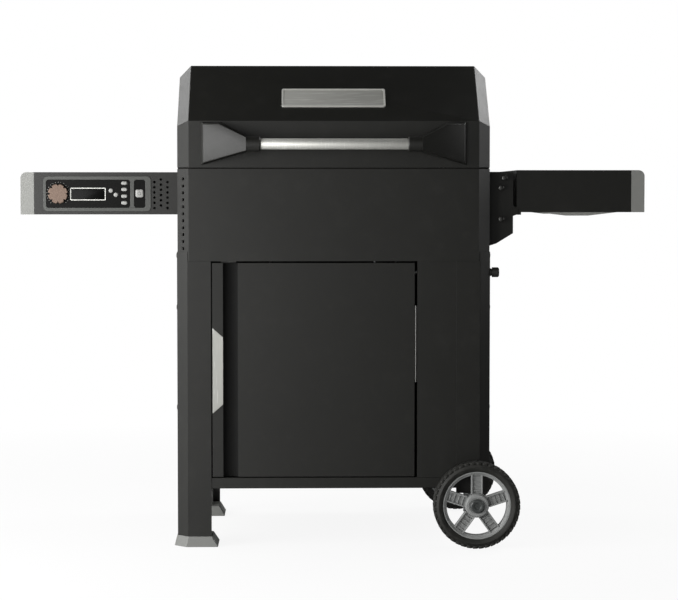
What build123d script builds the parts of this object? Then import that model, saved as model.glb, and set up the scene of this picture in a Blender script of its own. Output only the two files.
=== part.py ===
from build123d import *
import math
import os

# Cart-mounted charcoal grill and smoker with an electric controller, in millimetres.
# +Z is up, the front faces -Y, the floor is Z = 0 and X = 0 is the middle of the body.
# Every piece is drawn about the middle of the body, then moved along Y at the end so
# that the origin is the middle of the whole footprint.

# Body
body_width = 722.0
body_depth = 560.0
corner_cut = 27.0
sheet = 1.5
slide_gap = 0.3
pin_gap = 0.05

# Firebox
firebox_bottom = 661.0
firebox_top = 873.0
floor_lift = 1.5
vent_radius = 3.6
vent_pitch = 16.0
vent_count = 11
vent_first = 690.0

# Lid
lid_gap = 3.0
lid_side_height = 107.0
lid_height = 241.0
lid_slope_run = 145.0
lid_sheet = 2.0
lid_hinge_reach = 6.0
lid_knuckle_radius = 5.0
lid_pin_radius = 3.0
lid_hinge_offset = 250.0
lid_knuckle_length = 19.5
lid_leaf_height = 45.0
gasket_inset = 1.0
gasket_width = 7.0

# Lid handle
handle_reach = 70.0
handle_span = 612.0
handle_arm_length = 106.0
handle_arm_height = 100.0
handle_arm_flat = 44.0
handle_arm_edge = 10.0
handle_arm_taper = 9.0
handle_bar_radius = 12.5
handle_bar_drop = 52.0
collar_radius = 18.0
collar_length = 32.0
collar_overlap = 3.0

# Badge plate
badge_width = 240.0
badge_height = 62.0
badge_thickness = 2.5
badge_rim = 4.0
badge_rim_height = 1.2
badge_middle = 0.40

# Legs and feet
leg_width = 79.5
leg_proud = 1.5
leg_lap = 21.0
leg_plug = 36.0
plug_width = 60.0
foot_height = 24.0
foot_flare = 6.0
foot_inner_flare = 14.0
foot_lip = 1.5
right_leg_bottom = 123.0

# Cabinet
shelf_top = 160.0
rail_height = 25.0
door_width = 467.0
door_gap = 2.5
door_top_gap = 4.0
door_depth = 20.0
hinge_slit = 6.0
fixed_panel_width = 90.5
panel_return = 20.0
grip_strip = 25.0
recess_width = 35.0
recess_depth = 14.0
pull_long = 198.0
pull_short = 156.0
pull_width = 24.0
pull_thickness = 1.2
pull_middle = 408.0
door_knuckle_radius = 2.3
door_pin_radius = 1.2
door_hinge_middle = 470.0
door_hinge_length = 176.0
door_knuckles = 5
door_hinge_leaf = 17.0
leaf_thickness = 1.0
magnet_length = 34.0
magnet_depth = 17.0
magnet_drop = 22.0

# Side shelves
side_shelf_depth = 440.0
side_shelf_height = 98.0
left_shelf_top = 866.0
right_shelf_top = 871.0
overall_width = 1452.0
end_cap_length = 31.0
end_cap_corner = 14.0
end_cap_wall = 3.0
right_shelf_start = 66.5
bracket_width = 58.0
bracket_thickness = 3.0
bracket_top = 867.0
bracket_bottom = 694.0
bracket_cut_height = 30.0
bracket_cut_width = 39.0
bracket_flange = 40.0
bracket_bolt_places = ((36.0, 14.0), (28.5, 37.0), (28.5, 110.0))
fold_pin_radius = 4.0
fold_pin_height = 3.0
fold_lobe = 9.0
fold_pin_reach = 3.5
brace_drop = 8.0
brace_length = 189.0
brace_flat = 52.0
brace_start = 46.0
brace_rise = 14.0
brace_thickness = 6.0

# Control panel on the left shelf, measured from the shelf's outer end and its top
module_left = 22.0
module_width = 249.0
module_height = 81.0
bezel_thickness = 2.0
bezel_rim = 6.5
bezel_top_rim = 8.0
bezel_corner = 10.0
power_bay_width = 26.0
power_bay_margin = 12.8
bay_divider = 9.0
face_thickness = 2.0
face_lap = 3.0
button_height = 2.5
button_travel = 1.0
button_flange = 1.5
flange_thickness = 1.0
switch_gap = 0.5
dial_radius = 23.5
dial_height = 11.0
dial_from_left = 34.5
dial_shaft_radius = 3.0
dial_range_notches = 16
display_left = 62.0
display_width = 82.5
display_height = 29.5
display_rim = 4.0
display_thickness = 1.2
small_button_radius = 5.0
round_buttons = ((156.2, 7.4), (167.7, -2.4))
oval_from_left = 187.2
oval_width = 14.0
oval_height = 8.0
oval_offsets = (24.6, 9.9, -5.7, -21.3)
power_from_left = 222.4
power_size = 18.0
power_corner = 4.0
board_gap = 6.0
board_thickness = 1.5
control_middle = 50.0
perforation_radius = 3.0
perforation_columns = (16.0, 31.2, 46.4)
perforation_rows = 6
perforation_pitch = 12.0
inlet_from_cap = 60.0

# Blower and duct
blower_length = 76.0
blower_depth = 42.0
blower_drop = 5.0
blower_wall = 2.0
blower_front = -70.0
blower_intake = 20.0
fan_radius = 30.0
fan_width = 26.0
fan_hub = 9.0
fan_blades = 12
fan_blade_thickness = 2.0
fan_shaft_radius = 2.5
motor_radius = 18.0
motor_length = 26.0
duct_width = 30.0
duct_height = 26.0
duct_wall = 1.5
duct_drop = 23.0

# Fire and cooking parts
basket_length = 360.0
basket_depth = 260.0
basket_height = 110.0
basket_lift = 26.0
basket_sheet = 2.0
basket_slots = 9
basket_margin = 20.0
ledge_depth = 16.0
grate_top = 855.0
grate_bar = 8.0
grate_height = 10.0
grate_pitch = 22.0
grate_split_gap = 4.0
grate_end_gap = 12.0
diffuser_count = 3
diffuser_width = 150.0
diffuser_rise = 26.0
diffuser_level = 802.0
rack_height = 72.0
rack_depth = 150.0
rack_from_back = 40.0
rack_length = 560.0
rack_wire = 2.0
rack_rail = 3.0
rack_wires = 9
igniter_radius = 6.0
igniter_length = 120.0
igniter_height = 42.0
probe_radius = 3.0
probe_length = 90.0
probe_height = 828.0

# Ash damper and ash bin
slot_count = 4
slot_width = 18.0
slot_pitch = 50.0
slot_length = 200.0
damper_travel = 25.0
damper_sheet = 1.5
damper_margin = 12.0
rod_radius = 4.0
rod_height = 634.0
rod_from_front = 35.0
knob_radius = 11.5
knob_length = 18.0
bushing_radius = 9.0
bushing_length = 3.0
bin_length = 256.0
bin_depth = 280.0
bin_height = 95.0
bin_drop = 26.0
bin_lip = 20.0

# Wheels and axle
wheel_radius = 100.0
wheel_width = 44.0
tyre_thickness = 22.0
axle_radius = 6.0
axle_from_middle = 328.0
wheel_clearance = 5.5
rim_width = 34.0
rim_wall = 5.0
hub_radius = 28.0
spoke_count = 5
spoke_width = 26.0
spoke_depth = 14.0
spoke_groove = 10.0
cap_radius = 16.0
cap_height = 12.0
cap_wall = 2.0
axle_bracket_width = 37.0
axle_bracket_drop = 20.0
axle_bracket_thickness = 6.0
nut_radius = 11.0
nut_height = 3.0
tread_blocks = 36
tread_depth = 2.0

# Fasteners
screw_head_radius = 6.5
screw_head_height = 2.4
screw_shank_radius = 2.5
screw_grip = 8.0
side_screw_heights = (553.0, 320.0)

# Places that several pieces share
half_width = body_width / 2
half_depth = body_depth / 2
corner_line = half_width + half_depth - corner_cut
panel_front = half_depth - sheet - leg_proud
leg_outer_x = half_width + leg_proud
leg_outer_y = half_depth - leg_proud
leg_line = corner_line + 0.1 + leg_proud * math.sqrt(2)
lid_bottom = firebox_top + lid_gap
hinge_y = half_depth + lid_hinge_reach
hinge_z = firebox_top + lid_gap / 3
door_left = -(leg_outer_x - leg_width) + door_gap
door_right = door_left + door_width
pivot_x = door_right + hinge_slit / 2
pivot_y = -(panel_front - 1.0)
shelf_half = side_shelf_depth / 2
shelf_end = overall_width / 2
cap_start = shelf_end - end_cap_length
floor_level = firebox_bottom + floor_lift
slot_span = (slot_count - 1) * slot_pitch + slot_width
damper_y = -(half_depth - rod_from_front)
control_z = left_shelf_top - control_middle
module_x = -cap_start + module_left
face_front = -shelf_half
face_back = face_front + face_thickness
blower_z = control_z - blower_drop
blower_y = blower_front + blower_depth / 2
fold_x = half_width + right_shelf_start - fold_pin_reach
fold_z = right_shelf_top - side_shelf_height + fold_pin_height
wheel_inner = leg_outer_y + wheel_clearance
wheel_outer = wheel_inner + wheel_width
footprint_shift = (half_depth + handle_reach - wheel_outer - cap_height + tread_depth) / 2


def block(x0, x1, y0, y1, z0, z1):
    """Box between two corners."""
    corner = Pos(min(x0, x1), min(y0, y1), min(z0, z1))
    return corner * Box(abs(x1 - x0), abs(y1 - y0), abs(z1 - z0), align=(Align.MIN,) * 3)


def prism_x(points, x0, x1):
    """Outline of (y, z) points, drawn from x0 to x1."""
    face = Plane.YZ.offset(x0) * make_face(Polyline(*points, close=True))
    return extrude(face, amount=x1 - x0, dir=(1, 0, 0))


def prism_y(points, y0, y1):
    """Outline of (x, z) points, drawn from y0 to y1."""
    face = Plane.XZ.offset(-y0) * make_face(Polyline(*points, close=True))
    return extrude(face, amount=y1 - y0, dir=(0, 1, 0))


def prism_z(points, z0, z1):
    """Outline of (x, y) points, drawn from z0 to z1."""
    face = Plane.XY.offset(z0) * make_face(Polyline(*points, close=True))
    return extrude(face, amount=z1 - z0, dir=(0, 0, 1))


def rod_x(x0, x1, y, z, radius):
    """Cylinder along X."""
    return Pos((x0 + x1) / 2, y, z) * Rot(0, 90, 0) * Cylinder(radius, abs(x1 - x0))


def rod_y(x, y0, y1, z, radius):
    """Cylinder along Y."""
    return Pos(x, (y0 + y1) / 2, z) * Rot(90, 0, 0) * Cylinder(radius, abs(y1 - y0))


def rod_z(x, y, z0, z1, radius):
    """Cylinder along Z."""
    return Pos(x, y, (z0 + z1) / 2) * Cylinder(radius, abs(z1 - z0))


def group(shapes):
    """Several separate solids kept in one node."""
    return Compound(children=[solid for shape in shapes for solid in shape.solids()])


def mirror_x(shape):
    """The same shape on the other side."""
    return mirror(shape, about=Plane.YZ)


def mirror_y(shape):
    """The same shape at the back."""
    return mirror(shape, about=Plane.XZ)


def cut_outline(inset):
    """Plan of the body with its four cut corners, moved in by inset."""
    x, y = half_width - inset, half_depth - inset
    line = corner_line - inset * math.sqrt(2)
    corners = [(x, line - x), (line - y, y)]
    right = [corners[0], corners[1]]
    left = [(-px, py) for px, py in reversed(right)]
    top = right + left
    return top + [(-px, -py) for px, py in top]


# Firebox


def firebox_side(side):
    """Side wall bent 45 degrees at both ends, with the vent column on the front left."""
    outer, inner = cut_outline(0), cut_outline(sheet)
    end = outer[1][0]
    end_y = half_depth
    inner_end_y = corner_line - sheet * math.sqrt(2) - end
    wall = [(end, -end_y), (outer[0][0], -outer[0][1]), outer[0], (end, end_y)]
    wall += [(end, inner_end_y), inner[0], (inner[0][0], -inner[0][1]), (end, -inner_end_y)]
    shape = prism_z(wall, firebox_bottom, firebox_top)
    if side > 0:
        return shape
    shape = mirror_x(shape)
    middle = corner_cut / 2
    for i in range(vent_count):
        z = vent_first + i * vent_pitch
        place = Location((-half_width + middle, -half_depth + middle, z), (90, 0, -45))
        shape -= place * Cylinder(vent_radius, 4 * sheet)
    return shape


def firebox():
    """Walls, floor with ash slots, ledges and rim seal."""
    end = half_width - corner_cut
    front = block(-end, end, -half_depth, -half_depth + sheet, firebox_bottom, firebox_top)
    floor = prism_z(cut_outline(sheet), floor_level, floor_level + sheet)
    for i in range(slot_count):
        x = (i - (slot_count - 1) / 2) * slot_pitch - damper_travel / 2
        floor -= block(x - slot_width / 2, x + slot_width / 2, -slot_length / 2, slot_length / 2,
                       floor_level - 1, floor_level + sheet + 1)
    left, right = firebox_side(-1), firebox_side(1)
    duct_z = blower_z - duct_drop
    duct_y = blower_y
    gap = slide_gap
    left -= block(-half_width - 1, -half_width + 3, duct_y - duct_width / 2 - gap,
                  duct_y + duct_width / 2 + gap, duct_z - duct_height / 2 - gap,
                  duct_z + duct_height / 2 + gap)
    left -= rod_x(-half_width - 1, -half_width + 3, -blower_y, probe_height, probe_radius + gap)
    walls = [front, mirror_y(front), drilled(left), drilled(right)]
    return {
        "firebox_walls": group(walls + grate_ledges(end)),
        "firebox_floor": floor,
        "rim_gasket": rim_gasket(),
    }


def grate_ledges(end):
    """Angle ledges on the front and back walls, for the grates and the heat plates."""
    inner = half_depth - sheet
    shapes = []
    for level in (grate_top - grate_height, diffuser_level):
        outline = [(-inner, level), (-inner + ledge_depth, level), (-inner + ledge_depth, level - sheet),
                   (-inner + sheet, level - sheet), (-inner + sheet, level - ledge_depth),
                   (-inner, level - ledge_depth)]
        ledge = prism_x(outline, -end + 5, end - 5)
        shapes += [ledge, mirror_y(ledge)]
    return shapes


def rim_gasket():
    """Heat seal round the top edge of the firebox."""
    height = lid_gap - slide_gap
    outer = prism_z(cut_outline(gasket_inset), firebox_top, firebox_top + height)
    return outer - prism_z(cut_outline(gasket_width), firebox_top - 1, firebox_top + height + 1)


# Lid


def hood(inset):
    """Solid hood whose profile is moved in by inset, with cut ends."""
    x = half_width - inset
    y = half_depth - inset
    slope = math.atan2(lid_height - lid_side_height, lid_slope_run)
    bend = lid_side_height - inset * math.tan(slope / 2)
    top = lid_height - inset
    top_y = half_depth - lid_slope_run - inset * math.tan(slope / 2)
    base = lid_bottom - (1 if inset else 0)
    outline = [(-y, base), (-y, lid_bottom + bend), (-top_y, lid_bottom + top),
               (top_y, lid_bottom + top), (y, lid_bottom + bend), (y, base)]
    shape = prism_x(outline, -x, x)
    cut = corner_cut - inset * (2 - math.sqrt(2))
    ends = [e for e in shape.edges() if abs(abs(e.center().X) - x) < 0.01 and e.center().Z > base + 0.01]
    return chamfer(ends, cut)


def lid():
    """Wrap sheet with two cut end caps, and the hinge leaves on its back."""
    shell = hood(0) - hood(lid_sheet)
    end = half_width - corner_cut
    tall = lid_bottom + lid_height + 1
    middle = block(-end, end, -half_depth - 1, half_depth + 1, lid_bottom - 2, tall)
    right = block(end, half_width + 1, -half_depth - 1, half_depth + 1, lid_bottom - 2, tall)
    return {
        "lid_wrap": shell & middle,
        "lid_ends": group([shell & right, shell & mirror_x(right)]),
        "lid_hinge_leaves": lid_leaves(),
        "badge_plate": badge_plate(),
        **handle(),
    }


def lid_knuckle(x, length):
    """One barrel of a lid hinge."""
    barrel = rod_x(x - length / 2, x + length / 2, hinge_y, hinge_z, lid_knuckle_radius)
    return barrel - rod_x(x - length, x + length, hinge_y, hinge_z, lid_pin_radius + pin_gap)


def lid_hinge_leaf(x, low, high):
    """Flat leaf on the back face, clear of the other leaf's barrels."""
    width = 1.5 * lid_knuckle_length
    leaf = block(x - width, x + width, half_depth, half_depth + lid_hinge_reach / 2, low, high)
    bore = rod_x(x - 2 * width, x + 2 * width, hinge_y, hinge_z, lid_pin_radius + pin_gap)
    return leaf - bore


def lid_leaves():
    """Upper leaves with two barrels each."""
    shapes = []
    step = lid_knuckle_length + 0.5
    for x in (-lid_hinge_offset, lid_hinge_offset):
        leaf = lid_hinge_leaf(x, lid_bottom + 0.5, lid_bottom + lid_leaf_height)
        for side in (-step, step):
            leaf += lid_knuckle(x + side, lid_knuckle_length)
        clear = rod_x(x - step / 2, x + step / 2, hinge_y, hinge_z, lid_knuckle_radius + slide_gap)
        shapes.append(leaf - clear)
    return group(shapes)


def body_leaves():
    """Lower leaves with one middle barrel each."""
    shapes = []
    step = lid_knuckle_length + 0.5
    for x in (-lid_hinge_offset, lid_hinge_offset):
        leaf = lid_hinge_leaf(x, firebox_top - lid_leaf_height, firebox_top - 1.5)
        leaf += lid_knuckle(x, lid_knuckle_length)
        for side in (-step, step):
            middle = x + side
            leaf -= rod_x(middle - step / 2, middle + step / 2, hinge_y, hinge_z,
                          lid_knuckle_radius + slide_gap)
        shapes.append(leaf)
    return shapes


def lid_pins():
    """Pins with a head at each end of both hinges."""
    shapes = []
    reach = 1.5 * lid_knuckle_length + 1
    for x in (-lid_hinge_offset, lid_hinge_offset):
        pin = rod_x(x - reach, x + reach, hinge_y, hinge_z, lid_pin_radius)
        for side in (-1, 1):
            head = x + side * (reach + 1)
            pin += rod_x(head - 1, head + 1, hinge_y, hinge_z, lid_knuckle_radius)
        shapes.append(pin)
    return shapes


def badge_plate():
    """Bare plate with a raised border on the front slope."""
    rise, run = lid_height - lid_side_height, lid_slope_run
    slope = math.degrees(math.atan2(rise, run))
    along = badge_middle
    place = Pos(0, -half_depth + run * along, lid_bottom + lid_side_height + rise * along) * Rot(slope, 0, 0)
    plate = extrude(RectangleRounded(badge_width, badge_height, 5), badge_thickness)
    plate += Pos(0, 0, badge_thickness) * extrude(
        RectangleRounded(badge_width, badge_height, 5)
        - RectangleRounded(badge_width - 2 * badge_rim, badge_height - 2 * badge_rim, 3),
        badge_rim_height)
    return place * plate


def handle_arm():
    """Left arm: a wedge that grows from the lid's face to the bar's collar."""
    outer = -handle_span / 2
    inner = outer + handle_arm_length
    top = lid_bottom + lid_side_height - 2
    low = top - handle_arm_height
    bar_z = top - handle_bar_drop
    outline = [(outer, low), (outer, top), (outer + handle_arm_flat, top),
               (inner, bar_z + collar_radius), (inner, bar_z - collar_radius)]
    face = Plane.XZ.offset(half_depth) * make_face(Polyline(*outline, close=True))
    wedge = extrude(face, amount=handle_reach, dir=(0, -1, 0), taper=handle_arm_taper)
    front = -half_depth - handle_reach
    plan = [(outer - 1, -half_depth), (outer - 1, -half_depth - handle_arm_edge),
            (inner, front), (inner, -half_depth)]
    arm = wedge & prism_z(plan, low - 1, top + 1)
    bar_y = front + collar_radius
    collar = rod_x(inner - collar_length, inner + collar_length, bar_y, bar_z, collar_radius)
    arm += collar & block(inner - collar_length, inner + collar_length, front - 1, -half_depth, low, top)
    return arm - rod_x(inner + collar_overlap, inner + 2 * collar_length, bar_y, bar_z,
                       handle_bar_radius + pin_gap)


def handle():
    """Two cast arms and the bar between them."""
    arm = handle_arm()
    end = handle_span / 2 - handle_arm_length - collar_overlap
    bar_z = lid_bottom + lid_side_height - 2 - handle_bar_drop
    bar_y = -half_depth - handle_reach + collar_radius
    bar = rod_x(-end, end, bar_y, bar_z, handle_bar_radius)
    return {"handle_arms": group([arm, mirror_x(arm)]), "handle_bar": bar}


# Legs, feet and cabinet


def leg(bottom):
    """Front left leg: an angle with a cut outer corner that laps the firebox corner."""
    inner_x, inner_y = leg_outer_x - leg_proud, leg_outer_y - leg_proud
    inner_line = leg_line - leg_proud * math.sqrt(2)
    open_x, open_y = leg_outer_x - leg_width, leg_outer_y - leg_width
    outline = [(-open_x, -leg_outer_y), (-(leg_line - leg_outer_y), -leg_outer_y),
               (-leg_outer_x, -(leg_line - leg_outer_x)), (-leg_outer_x, -open_y),
               (-inner_x, -open_y), (-inner_x, -(inner_line - inner_x)),
               (-(inner_line - inner_y), -inner_y), (-open_x, -inner_y)]
    shape = prism_z(outline, bottom, firebox_bottom + leg_lap)
    lap = block(-(inner_line - inner_y), -open_x + 1, -leg_outer_y - 1, -inner_y + 1,
                firebox_bottom, firebox_bottom + leg_lap + 1)
    return shape - lap


def foot():
    """Flared foot under the front left leg, with a plug inside the leg."""
    top_x, top_y = leg_outer_x + foot_lip, leg_outer_y + foot_lip
    in_x, in_y = leg_outer_x - leg_width - foot_lip, leg_outer_y - leg_width - foot_lip
    flare, inner_flare = foot_flare, foot_inner_flare

    def outline(out, inward, cut):
        x, y = -(top_x + out), -(top_y + out)
        return [(-(in_x - inward), y), (x + cut, y), (x, y + cut), (x, -(in_y - inward)),
                (-(in_x - inward), -(in_y - inward))]

    low = make_face(Polyline(*outline(flare, inner_flare, corner_cut), close=True))
    high = Plane.XY.offset(foot_height) * make_face(Polyline(*outline(0, 0, corner_cut), close=True))
    shape = loft([low, high], ruled=True)
    inner_x, inner_y = leg_outer_x - leg_proud, leg_outer_y - leg_proud
    inner_line = leg_line - leg_proud * math.sqrt(2)
    plug = [(-inner_x, -inner_y + plug_width), (-inner_x, -(inner_line - inner_x)),
            (-(inner_line - inner_y), -inner_y), (-inner_x + plug_width, -inner_y),
            (-inner_x + plug_width, -inner_y + plug_width)]
    return shape + prism_z(plug, foot_height - 1, foot_height + leg_plug)


def side_screw_places():
    """Y and Z of the screws that hold each leg's side flange."""
    y = leg_outer_y - leg_width * 0.6
    return [(sy * y, z) for sy in (-1, 1) for z in (firebox_bottom + 12, *side_screw_heights)]


def side_screws():
    """Domed screws through the leg flanges."""
    shapes = []
    for y, z in side_screw_places():
        for side in (-1, 1):
            x = side * leg_outer_x
            head = rod_x(x, x + side * screw_head_height, y, z, screw_head_radius)
            edge = [e for e in head.edges() if abs(e.center().X - x - side * screw_head_height) < 0.01]
            head = fillet(edge, screw_head_height * 0.7)
            shapes.append(head + rod_x(x - side * screw_grip, x, y, z, screw_shank_radius))
    return shapes


def drilled(shape):
    """Shape with clearance holes for the side screws."""
    for y, z in side_screw_places():
        shape -= rod_x(-leg_outer_x - 2, leg_outer_x + 2, y, z, screw_shank_radius + slide_gap)
    return shape


def rod_hole(x0, x1):
    """Clearance for the damper rod."""
    return rod_x(x0, x1, damper_y, rod_height, rod_radius + slide_gap)


def legs():
    """Two full legs on the left, two short ones over the wheels."""
    left = leg(foot_height)
    right = mirror_x(leg(right_leg_bottom))
    pad = foot()
    front_right = drilled(right) - rod_hole(half_width - 5, half_width + 5)
    return {
        "left_legs": group([drilled(left), drilled(mirror_y(left))]),
        "right_legs": group([front_right, drilled(mirror_y(right))]),
        "feet": group([pad, mirror_y(pad)]),
    }


def cabinet():
    """Bottom shelf pan, side and back panels and the fixed front panel."""
    side_y = half_depth - corner_cut
    inner_x, inner_y = leg_outer_x - leg_proud, leg_outer_y - leg_proud
    line = leg_line - leg_proud * math.sqrt(2)

    def pan_outline(inset):
        x, y, cut = inner_x - inset, inner_y - inset, line - inset * math.sqrt(2)
        quarter = [(x, cut - x), (cut - y, y)]
        half = quarter + [(-px, py) for px, py in reversed(quarter)]
        return half + [(-px, -py) for px, py in half]

    pan = prism_z(pan_outline(0), shelf_top - rail_height, shelf_top)
    pan -= prism_z(pan_outline(sheet), shelf_top - rail_height - 1, shelf_top - sheet)
    side = block(inner_x - sheet, inner_x, -side_y, side_y, shelf_top, firebox_bottom)
    right = drilled(side) - rod_hole(half_width - 5, half_width + 5)
    back_x = line - inner_y
    back = block(-back_x, back_x, inner_y - sheet, inner_y, shelf_top, firebox_bottom)
    left = drilled(mirror_x(side))
    return {
        "bottom_shelf": pan,
        "cabinet_panels": group([left, right, back, fixed_front_panel()]),
    }


def fixed_front_panel():
    """Narrow panel between the door and the right leg, turned in at the door's edge."""
    start = door_right + hinge_slit
    end = start + fixed_panel_width + 10
    front = -panel_front
    outline = [(start, front), (end, front), (end, front + sheet), (start + sheet, front + sheet),
               (start + sheet, front + panel_return), (start, front + panel_return)]
    return prism_z(outline, shelf_top, firebox_bottom)


# Door


def door_panel():
    """Bent sheet door: returned edges and a hollow finger recess beside the grip strip."""
    bottom, top = shelf_top + 2, firebox_bottom - door_top_gap
    front, back = -panel_front, -panel_front + door_depth
    pan = block(door_left, door_right, front, back, bottom, top)
    pan -= block(door_left + sheet, door_right - sheet, front + sheet, back + 1,
                 bottom + sheet, top - sheet)
    start = door_left + grip_strip
    radius = (recess_width ** 2 / 4 + recess_depth ** 2) / (2 * recess_depth)
    middle = start + recess_width / 2
    centre_y = front - (radius - recess_depth)
    inside = block(door_left, door_right, front, back, bottom, top)
    trough = rod_z(middle, centre_y, bottom, top, radius + sheet) & inside
    pan += trough
    return pan - rod_z(middle, centre_y, bottom - 1, top + 1, radius)


def pull_plate():
    """Bright plate on the grip strip, long on its outer edge."""
    left = door_left + (grip_strip - pull_width) / 2
    right = left + pull_width
    outline = [(left, pull_middle - pull_long / 2), (right, pull_middle - pull_short / 2),
               (right, pull_middle + pull_short / 2), (left, pull_middle + pull_long / 2)]
    return prism_y(outline, -panel_front - pull_thickness, -panel_front)


def door_knuckle(index):
    """One barrel of the door's long hinge."""
    length = door_hinge_length / door_knuckles
    low = door_hinge_middle - door_hinge_length / 2 + index * length + slide_gap / 2
    return rod_z(pivot_x, pivot_y, low, low + length - slide_gap, door_knuckle_radius)


def door_hinge_side(start, direction):
    """Leaf and its barrels: even barrels on the body, odd barrels on the door."""
    low = door_hinge_middle - door_hinge_length / 2
    edge = pivot_x + direction * hinge_slit / 2
    length = door_hinge_length / door_knuckles
    shape = None
    for index in range(start, door_knuckles, 2):
        piece_low = low + index * length + slide_gap / 2
        piece_high = piece_low + length - slide_gap
        piece = door_knuckle(index)
        piece += block(edge, edge - direction * leaf_thickness, pivot_y, pivot_y + door_hinge_leaf,
                       piece_low, piece_high)
        shape = piece if shape is None else shape + piece
    leaf = block(edge, edge - direction * leaf_thickness, pivot_y + door_knuckle_radius + 1,
                 pivot_y + door_hinge_leaf, low, low + door_hinge_length)
    bore = rod_z(pivot_x, pivot_y, low - 1, low + door_hinge_length + 1, door_pin_radius + pin_gap)
    return shape + leaf - bore


def door():
    """Door with its pull plate, hinge and catch."""
    low = door_hinge_middle - door_hinge_length / 2
    pin = rod_z(pivot_x, pivot_y, low - 1, low + door_hinge_length + 1, door_pin_radius)
    catch_x = door_left + 20
    back = -panel_front + door_depth
    magnet = block(catch_x, catch_x + magnet_length, back + slide_gap, back + magnet_depth,
                   firebox_bottom - magnet_drop, floor_level)
    return {
        "door_panel": door_panel(),
        "door_pull_plate": pull_plate(),
        "door_hinge_leaf": door_hinge_side(1, -1),
        "door_frame_hardware": group([door_hinge_side(0, 1), pin, magnet]),
    }


# Left shelf and its controls


def left_shelf():
    """Boxed shelf from separate sheets, with its end cap and body plate."""
    outer, inner = -cap_start, -half_width
    top, low = left_shelf_top, left_shelf_top - side_shelf_height
    y = shelf_half
    plate = inner - 2
    fascia = block(outer, plate, -y, -y + sheet, low, top - sheet)
    rim = bezel_rim - face_lap
    fascia -= block(module_x + rim, module_x + module_width - rim, -y - 1, -y + sheet + 1,
                    control_z - module_height / 2 + rim, control_z + module_height / 2 - rim)
    for column, offset in enumerate(perforation_columns):
        for row in range(perforation_rows):
            z = control_z + (row - (perforation_rows - 1) / 2) * perforation_pitch
            z += perforation_pitch / 2 * (column % 2) - perforation_pitch / 4
            x = module_x + module_width + offset - 8
            fascia -= rod_y(x, -y - 1, -y + sheet + 1, z, perforation_radius)
    inlet_x = outer + inlet_from_cap
    back = block(outer, plate, y - sheet, y, low, top - sheet)
    back -= block(inlet_x - 16, inlet_x + 16, y - sheet - 1, y + 1, control_z - 12, control_z + 12)
    duct_z = blower_z - duct_drop
    body_plate = block(plate, inner, -y, y, low, top - sheet)
    body_plate -= block(plate - 1, inner + 1, blower_y - duct_width / 2 - slide_gap,
                        blower_y + duct_width / 2 + slide_gap, duct_z - duct_height / 2 - slide_gap,
                        duct_z + duct_height / 2 + slide_gap)
    body_plate -= rod_x(plate - 1, inner + 1, -blower_y, probe_height, probe_radius + slide_gap)
    cover = block(outer, inner, -y, y, top - sheet, top)
    bottom = block(outer, plate, -y + sheet, y - sheet, low, low + sheet)
    return {
        "left_shelf_housing": group([cover, back, bottom, body_plate]),
        "left_shelf_fascia": fascia,
        "left_shelf_end_cap": mirror_x(end_cap(top)),
        "power_inlet": power_inlet(inlet_x),
    }


def end_cap(top):
    """Hollow grey cap on a shelf's outer end, its top outer edge rounded."""
    low = top - side_shelf_height
    shape = block(cap_start, shelf_end, -shelf_half, shelf_half, low, top)
    edge = [e for e in shape.edges()
            if abs(e.center().X - shelf_end) < 0.01 and abs(e.center().Z - top) < 0.01]
    shape = fillet(edge, end_cap_corner)
    wall = end_cap_wall
    return shape - block(cap_start - 1, shelf_end - wall - end_cap_corner / 2, -shelf_half + wall,
                         shelf_half - wall, low + wall, top - wall)


def power_inlet(x):
    """Recessed appliance inlet with three flat pins, in the back of the left shelf."""
    y = shelf_half
    shape = block(x - 18, x + 18, y, y + 2.5, control_z - 14, control_z + 14)
    shape += block(x - 15.5, x + 15.5, y - 24, y, control_z - 11.5, control_z + 11.5)
    shape -= block(x - 12.5, x + 12.5, y - 20, y + 3, control_z - 8.5, control_z + 8.5)
    for offset, rise in ((-7, 0), (0, 3), (7, 0)):
        shape += block(x + offset - 1, x + offset + 1, y - 21, y - 8, control_z + rise - 2.5,
                       control_z + rise + 2.5)
    return shape


def rounded_y(width, height, radius, x, z, y0, y1):
    """Rounded rectangle in the front plane, drawn from y0 to y1."""
    face = Plane((x, y0, z), x_dir=(1, 0, 0), z_dir=(0, -1, 0)) * RectangleRounded(width, height, radius)
    return extrude(face, amount=y1 - y0, dir=(0, 1, 0))


def button_shape(kind, x, z, grow, y0, y1):
    """Plan of a button, grown all round, drawn from y0 to y1."""
    if kind == "round":
        return rod_y(x, y0, y1, z, small_button_radius + grow)
    if kind == "oval":
        width, height = oval_width + 2 * grow, oval_height + 2 * grow
        return rounded_y(width, height, height / 2 - 0.01, x, z, y0, y1)
    size = power_size + 2 * grow
    return rounded_y(size, size, power_corner + grow, x, z, y0, y1)


def buttons():
    """Name, kind and place of every push button."""
    places = []
    for index, (offset, rise) in enumerate(round_buttons):
        places.append((f"round_button_{index + 1}", "round", module_x + offset, control_z + rise))
    for index, rise in enumerate(oval_offsets):
        places.append((f"oval_button_{index + 1}", "oval", module_x + oval_from_left, control_z + rise))
    places.append(("power_button", "square", module_x + power_from_left, control_z + 0.7))
    return places


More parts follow.
